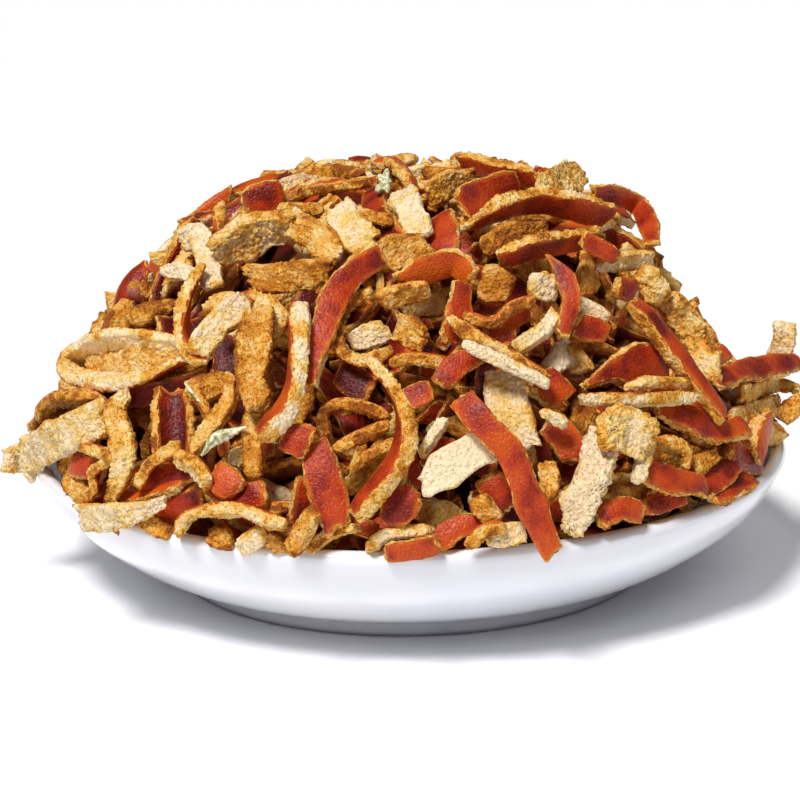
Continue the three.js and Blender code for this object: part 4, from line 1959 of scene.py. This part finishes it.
RIGHT_FLANK: tuple[Laid, ...] = (
    Laid(
        ((40, 24), (37.5, 17), (34, 9), (32.5, 4)),
        6.6, (180,), Shade.CHALK, (5,), thick=3.5, ends=(0.8, 0.6), knob=1.1,
    ),
    Laid(((39, 24), (44, 25), (49, 22)), 8.5, (180,), Shade.CREAM, (6,), knob=0.9),
    Laid(((39, 27.5), (44, 28), (49, 26)), 3, (120,), Shade.TAN, (5,)),
    Laid(((49.5, 23.5), (48, 19.5), (46.5, 14.5)), 3, (120,), Shade.CREAM, (4,)),
    Laid(((36, 34), (43.5, 37), (53, 36)), 12, (5,), Shade.RED, (4,), ends=(0.1, 1.0), taper=1.0),
    Laid(((35, 31.5), (45.5, 31), (57.5, 31)), 3.2, (100,), Shade.CREAM, (5,)),
    Laid(((45, 33.5), (57, 33)), 4.4, (150,), Shade.YELLOW, (6,), ends=(0.4, 0.9)),
    Laid(((65, 19), (71, 17)), 6, (20,), Shade.RED, (1,)),
    Laid(((70, 25), (75.5, 22)), 5, (160,), Shade.YELLOW, (1,)),
    Laid(((61, 10.5), (69, 14)), 5, (30,), Shade.BURGUNDY, (2,)),
    Laid(((66, 26), (75, 29)), 5, (170,), Shade.YELLOW, (0,)),
    Laid(((58, 12), (66, 17)), 5, (10,), Shade.BURGUNDY, (1,)),
    Laid(((64, 15), (71, 21.5)), 5, (150,), Shade.TAN, (0,)),
    Laid(((67, 21), (73.5, 26)), 5, (30,), Shade.RED, (0,)),
    Laid(((50.5, 29.5), (57.5, 26.5), (63.5, 24), (68.5, 24.5)), 5.5, (35,), Shade.RED, (5,)),
    Laid(((46.5, 50.5), (52.5, 43.5), (58.5, 34.5), (64, 27)), 4.5, (60,), Shade.BURGUNDY, (6,), thick=3),
    Laid(((48.5, 57), (53, 51)), 5, (170,), Shade.YELLOW, (2,), knob=0.8),
    Laid(((53.5, 50.5), (59, 43), (61.5, 34)), 5, (170,), Shade.YELLOW, (2,), knob=1.1),
    Laid(((55.5, 52), (60.5, 45.5), (62.5, 42.5)), 3, (100,), Shade.YELLOW, (2,)),
    Laid(((40, 59), (50.5, 59.5)), 4, (160,), Shade.CREAM, (2,)),
    Laid(((43.5, 54), (47, 53)), 4, (0,), Shade.RED, (2,)),
    Laid(((62, 38), (65, 40)), 3.5, (0,), Shade.RED, (2,)),
    Laid(((62.5, 34), (69.5, 36), (80, 37.5)), 5, (30,), Shade.RED, (3,)),
    Laid(((75.5, 38), (77, 42), (77.5, 45.5)), 5, (180,), Shade.CREAM, (2,), knob=0.6),
    Laid(((68, 31.5), (74, 33), (80, 32)), 4, (150,), Shade.YELLOW, (2,), ends=(0.8, 0.4)),
    Laid(((73.5, 26.5), (71.5, 22.5), (70.5, 18.5)), 4.5, (60,), Shade.ORANGE, (2,)),
    Laid(((76, 26), (80.5, 30)), 4, (180,), Shade.TAN, (2,)),
    Laid(((47.5, 17), (52.5, 14.5), (59.5, 13)), 5.5, (20,), Shade.RED, (4,)),
    Laid(((50.5, 22.5), (55.5, 20.5), (56, 16.5)), 3.5, (120,), Shade.YELLOW, (3,)),
    Laid(((57.5, 16.5), (62.5, 19.5)), 4, (170,), Shade.TAN, (2,)),
    Laid(((38.5, 6.5), (42.5, 9), (46.5, 8)), 5, (10,), Shade.RED, (4,)),
    Laid(((41.5, 12), (47.5, 11)), 4.5, (180,), Shade.TAN, (2,)),
    Laid(((47, 9), (55.5, 11)), 4, (0,), Shade.BURGUNDY, (2,)),
)

GREEN_FIBRES: tuple[Laid, ...] = (
    Laid(
        ((-42, 22.5), (-38.5, 26), (-33, 28)),
        2.3, (150,), Shade.GREEN, (5,), thick=1, ends=(0.2, 0.2), taper=0.5,
    ),
    Laid(((-44.5, 37), (-41.5, 33)), 0.5, (180,), Shade.GREEN, (4,), thick=0.45, ends=(0.4, 0.4)),
    Laid(((-29, 26.5), (-26.5, 24.5)), 0.9, (180,), Shade.GREEN, (7,), thick=0.7, ends=(0.4, 0.3)),
)


def stem_end(across: float, up: float, reach: float = 2.7, tips: int = 7) -> tuple[Laid, ...]:
    """Makes the ragged tuft that is left where a stem broke off.

    Args:
        across: Where its middle shows: millimetres to the right.
        up: Where its middle shows: millimetres up.
        reach: How far its longest tips reach.
        tips: How many tips it has.

    Returns:
        The tips.
    """
    rows = []
    for index in range(tips):
        turn = 2.0 * math.pi * (index + 0.3 * (index % 3)) / tips
        far = reach * (0.5 + 0.25 * (index * 2 % 3))
        tip = (across + 0.7 * far * math.cos(turn), up + far * math.sin(turn))
        back = (across - 0.4 * math.cos(turn), up - 0.4 * math.sin(turn))
        row = Laid((back, tip), 1.5, (180,), Shade.GREEN, (3, 4), thick=1.2, ends=(1.0, 0.4), knob=0.1)
        rows.append(row)
    return tuple(rows)


FRONT_STRIPS = (
    LEFT_FLANK
    + CROWN_LEFT
    + MIDDLE
    + CROWN_RIGHT
    + RIGHT_FLANK
    + GREEN_FIBRES
    + stem_end(-3.0, 77.0)
)


@dataclass
class PeelHeap:
    """The heap of strips.

    Attributes:
        shape: Its outline.
        view: Where it is seen from.
        grain: The noise that roughens the strips and the core.
        seed: For the small differences between laid strips.
    """

    shape: HeapShape
    view: Viewpoint
    grain: Grain = field(default_factory=lambda: Grain(3))
    seed: int = 21

    def build(self) -> list[bpy.types.Object]:
        """Makes every piece of the heap and reports it.

        Returns:
            The pieces.
        """
        rng = np.random.default_rng(self.seed)
        laid = [row.build(self.shape, self.view, rng) for row in FRONT_STRIPS]
        strewer = Strewer(self.shape)
        strips = laid + strewer.strew()
        Settler(self.shape, self.view, strewer.inset).settle(strips)
        LOG.info("settled %d strips, %d of them laid", len(strips), len(laid))
        maker = StripMaker(self.grain)
        peel, fibre = PeelFinish().material(), FibreFinish().material()
        pieces = [HeapCore(self.shape).build(self.grain)]
        for kind in Kind:
            same = [strip for strip in strips if strip.kind is kind]
            if same:
                piece = maker.join(kind.value, same)
                piece.data.materials.append(fibre if kind is Kind.FIBRE else peel)
                pieces.append(piece)
                LOG.info("%s: %d strips, %d faces", kind.value, len(same), len(piece.data.polygons))
        for piece in pieces:
            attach(piece, "root")
            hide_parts("peel_heap")
        return pieces


@dataclass(frozen=True)
class Studio:
    """A pale floor, faint light from all round, a lamp at the front left and a wide one above.

    Attributes:
        floor_size: The floor's width, in metres.
        sky: The strength of the light from all round.
        floor_colour: The floor's colour.
    """

    floor_size: float = 6.0
    sky: float = 0.08
    floor_colour: tuple[float, ...] = colour(250, 250, 251)

    def build(self) -> None:
        """Makes the floor, the lights and the surroundings."""
        mesh = bmesh.new()
        bmesh.ops.create_grid(mesh, x_segments=1, y_segments=1, size=self.floor_size / 2)
        book = NodeBook("pale_floor")
        book.shader.inputs["Base Color"].default_value = self.floor_colour
        book.shader.inputs["Roughness"].default_value = 0.9
        floor = add_piece("floor", mesh, book.material)
        world = bpy.data.worlds.new("soft_box")
        world.use_nodes = True
        ground = world.node_tree.nodes["Background"]
        ground.inputs["Color"].default_value = (1.0, 1.0, 1.0, 1.0)
        ground.inputs["Strength"].default_value = self.sky
        bpy.context.scene.world = world
        self.sun("key", (-0.3, -0.6, 0.95), 15.0, 3.3)
        self.sun("top", (0.4, 0.2, 1.1), 50.0, 0.5)
        settings = bpy.context.scene.view_settings
        settings.view_transform = "Standard"
        settings.look = "None"

    @staticmethod
    def sun(name: str, way: tuple[float, float, float], spread: float, power: float) -> None:
        """Shines a soft lamp from far off.

        Args:
            name: The lamp's name.
            way: The direction that it shines from.
            spread: How many degrees wide it is.
            power: In watts on each square metre.
        """
        data = bpy.data.lights.new(name, "SUN")
        data.angle = math.radians(spread)
        data.energy = power
        lamp = add_object(name, data)
        lamp.matrix_world = Vector(way).to_track_quat("Z", "Y").to_matrix().to_4x4()


def main() -> None:
    """Builds the dish, the heap and the studio."""
    logging.basicConfig(level=logging.INFO, format="%(name)s: %(message)s")
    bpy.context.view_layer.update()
    view = Viewpoint()
    view.place_camera()
    PorcelainDish.from_frame().build()
    LOG.info("turned the dish")
    PeelHeap(HeapShape.from_frame(), view).build()
    Studio().build()
    bpy.context.view_layer.update()


if __name__ == "__main__":
    main()
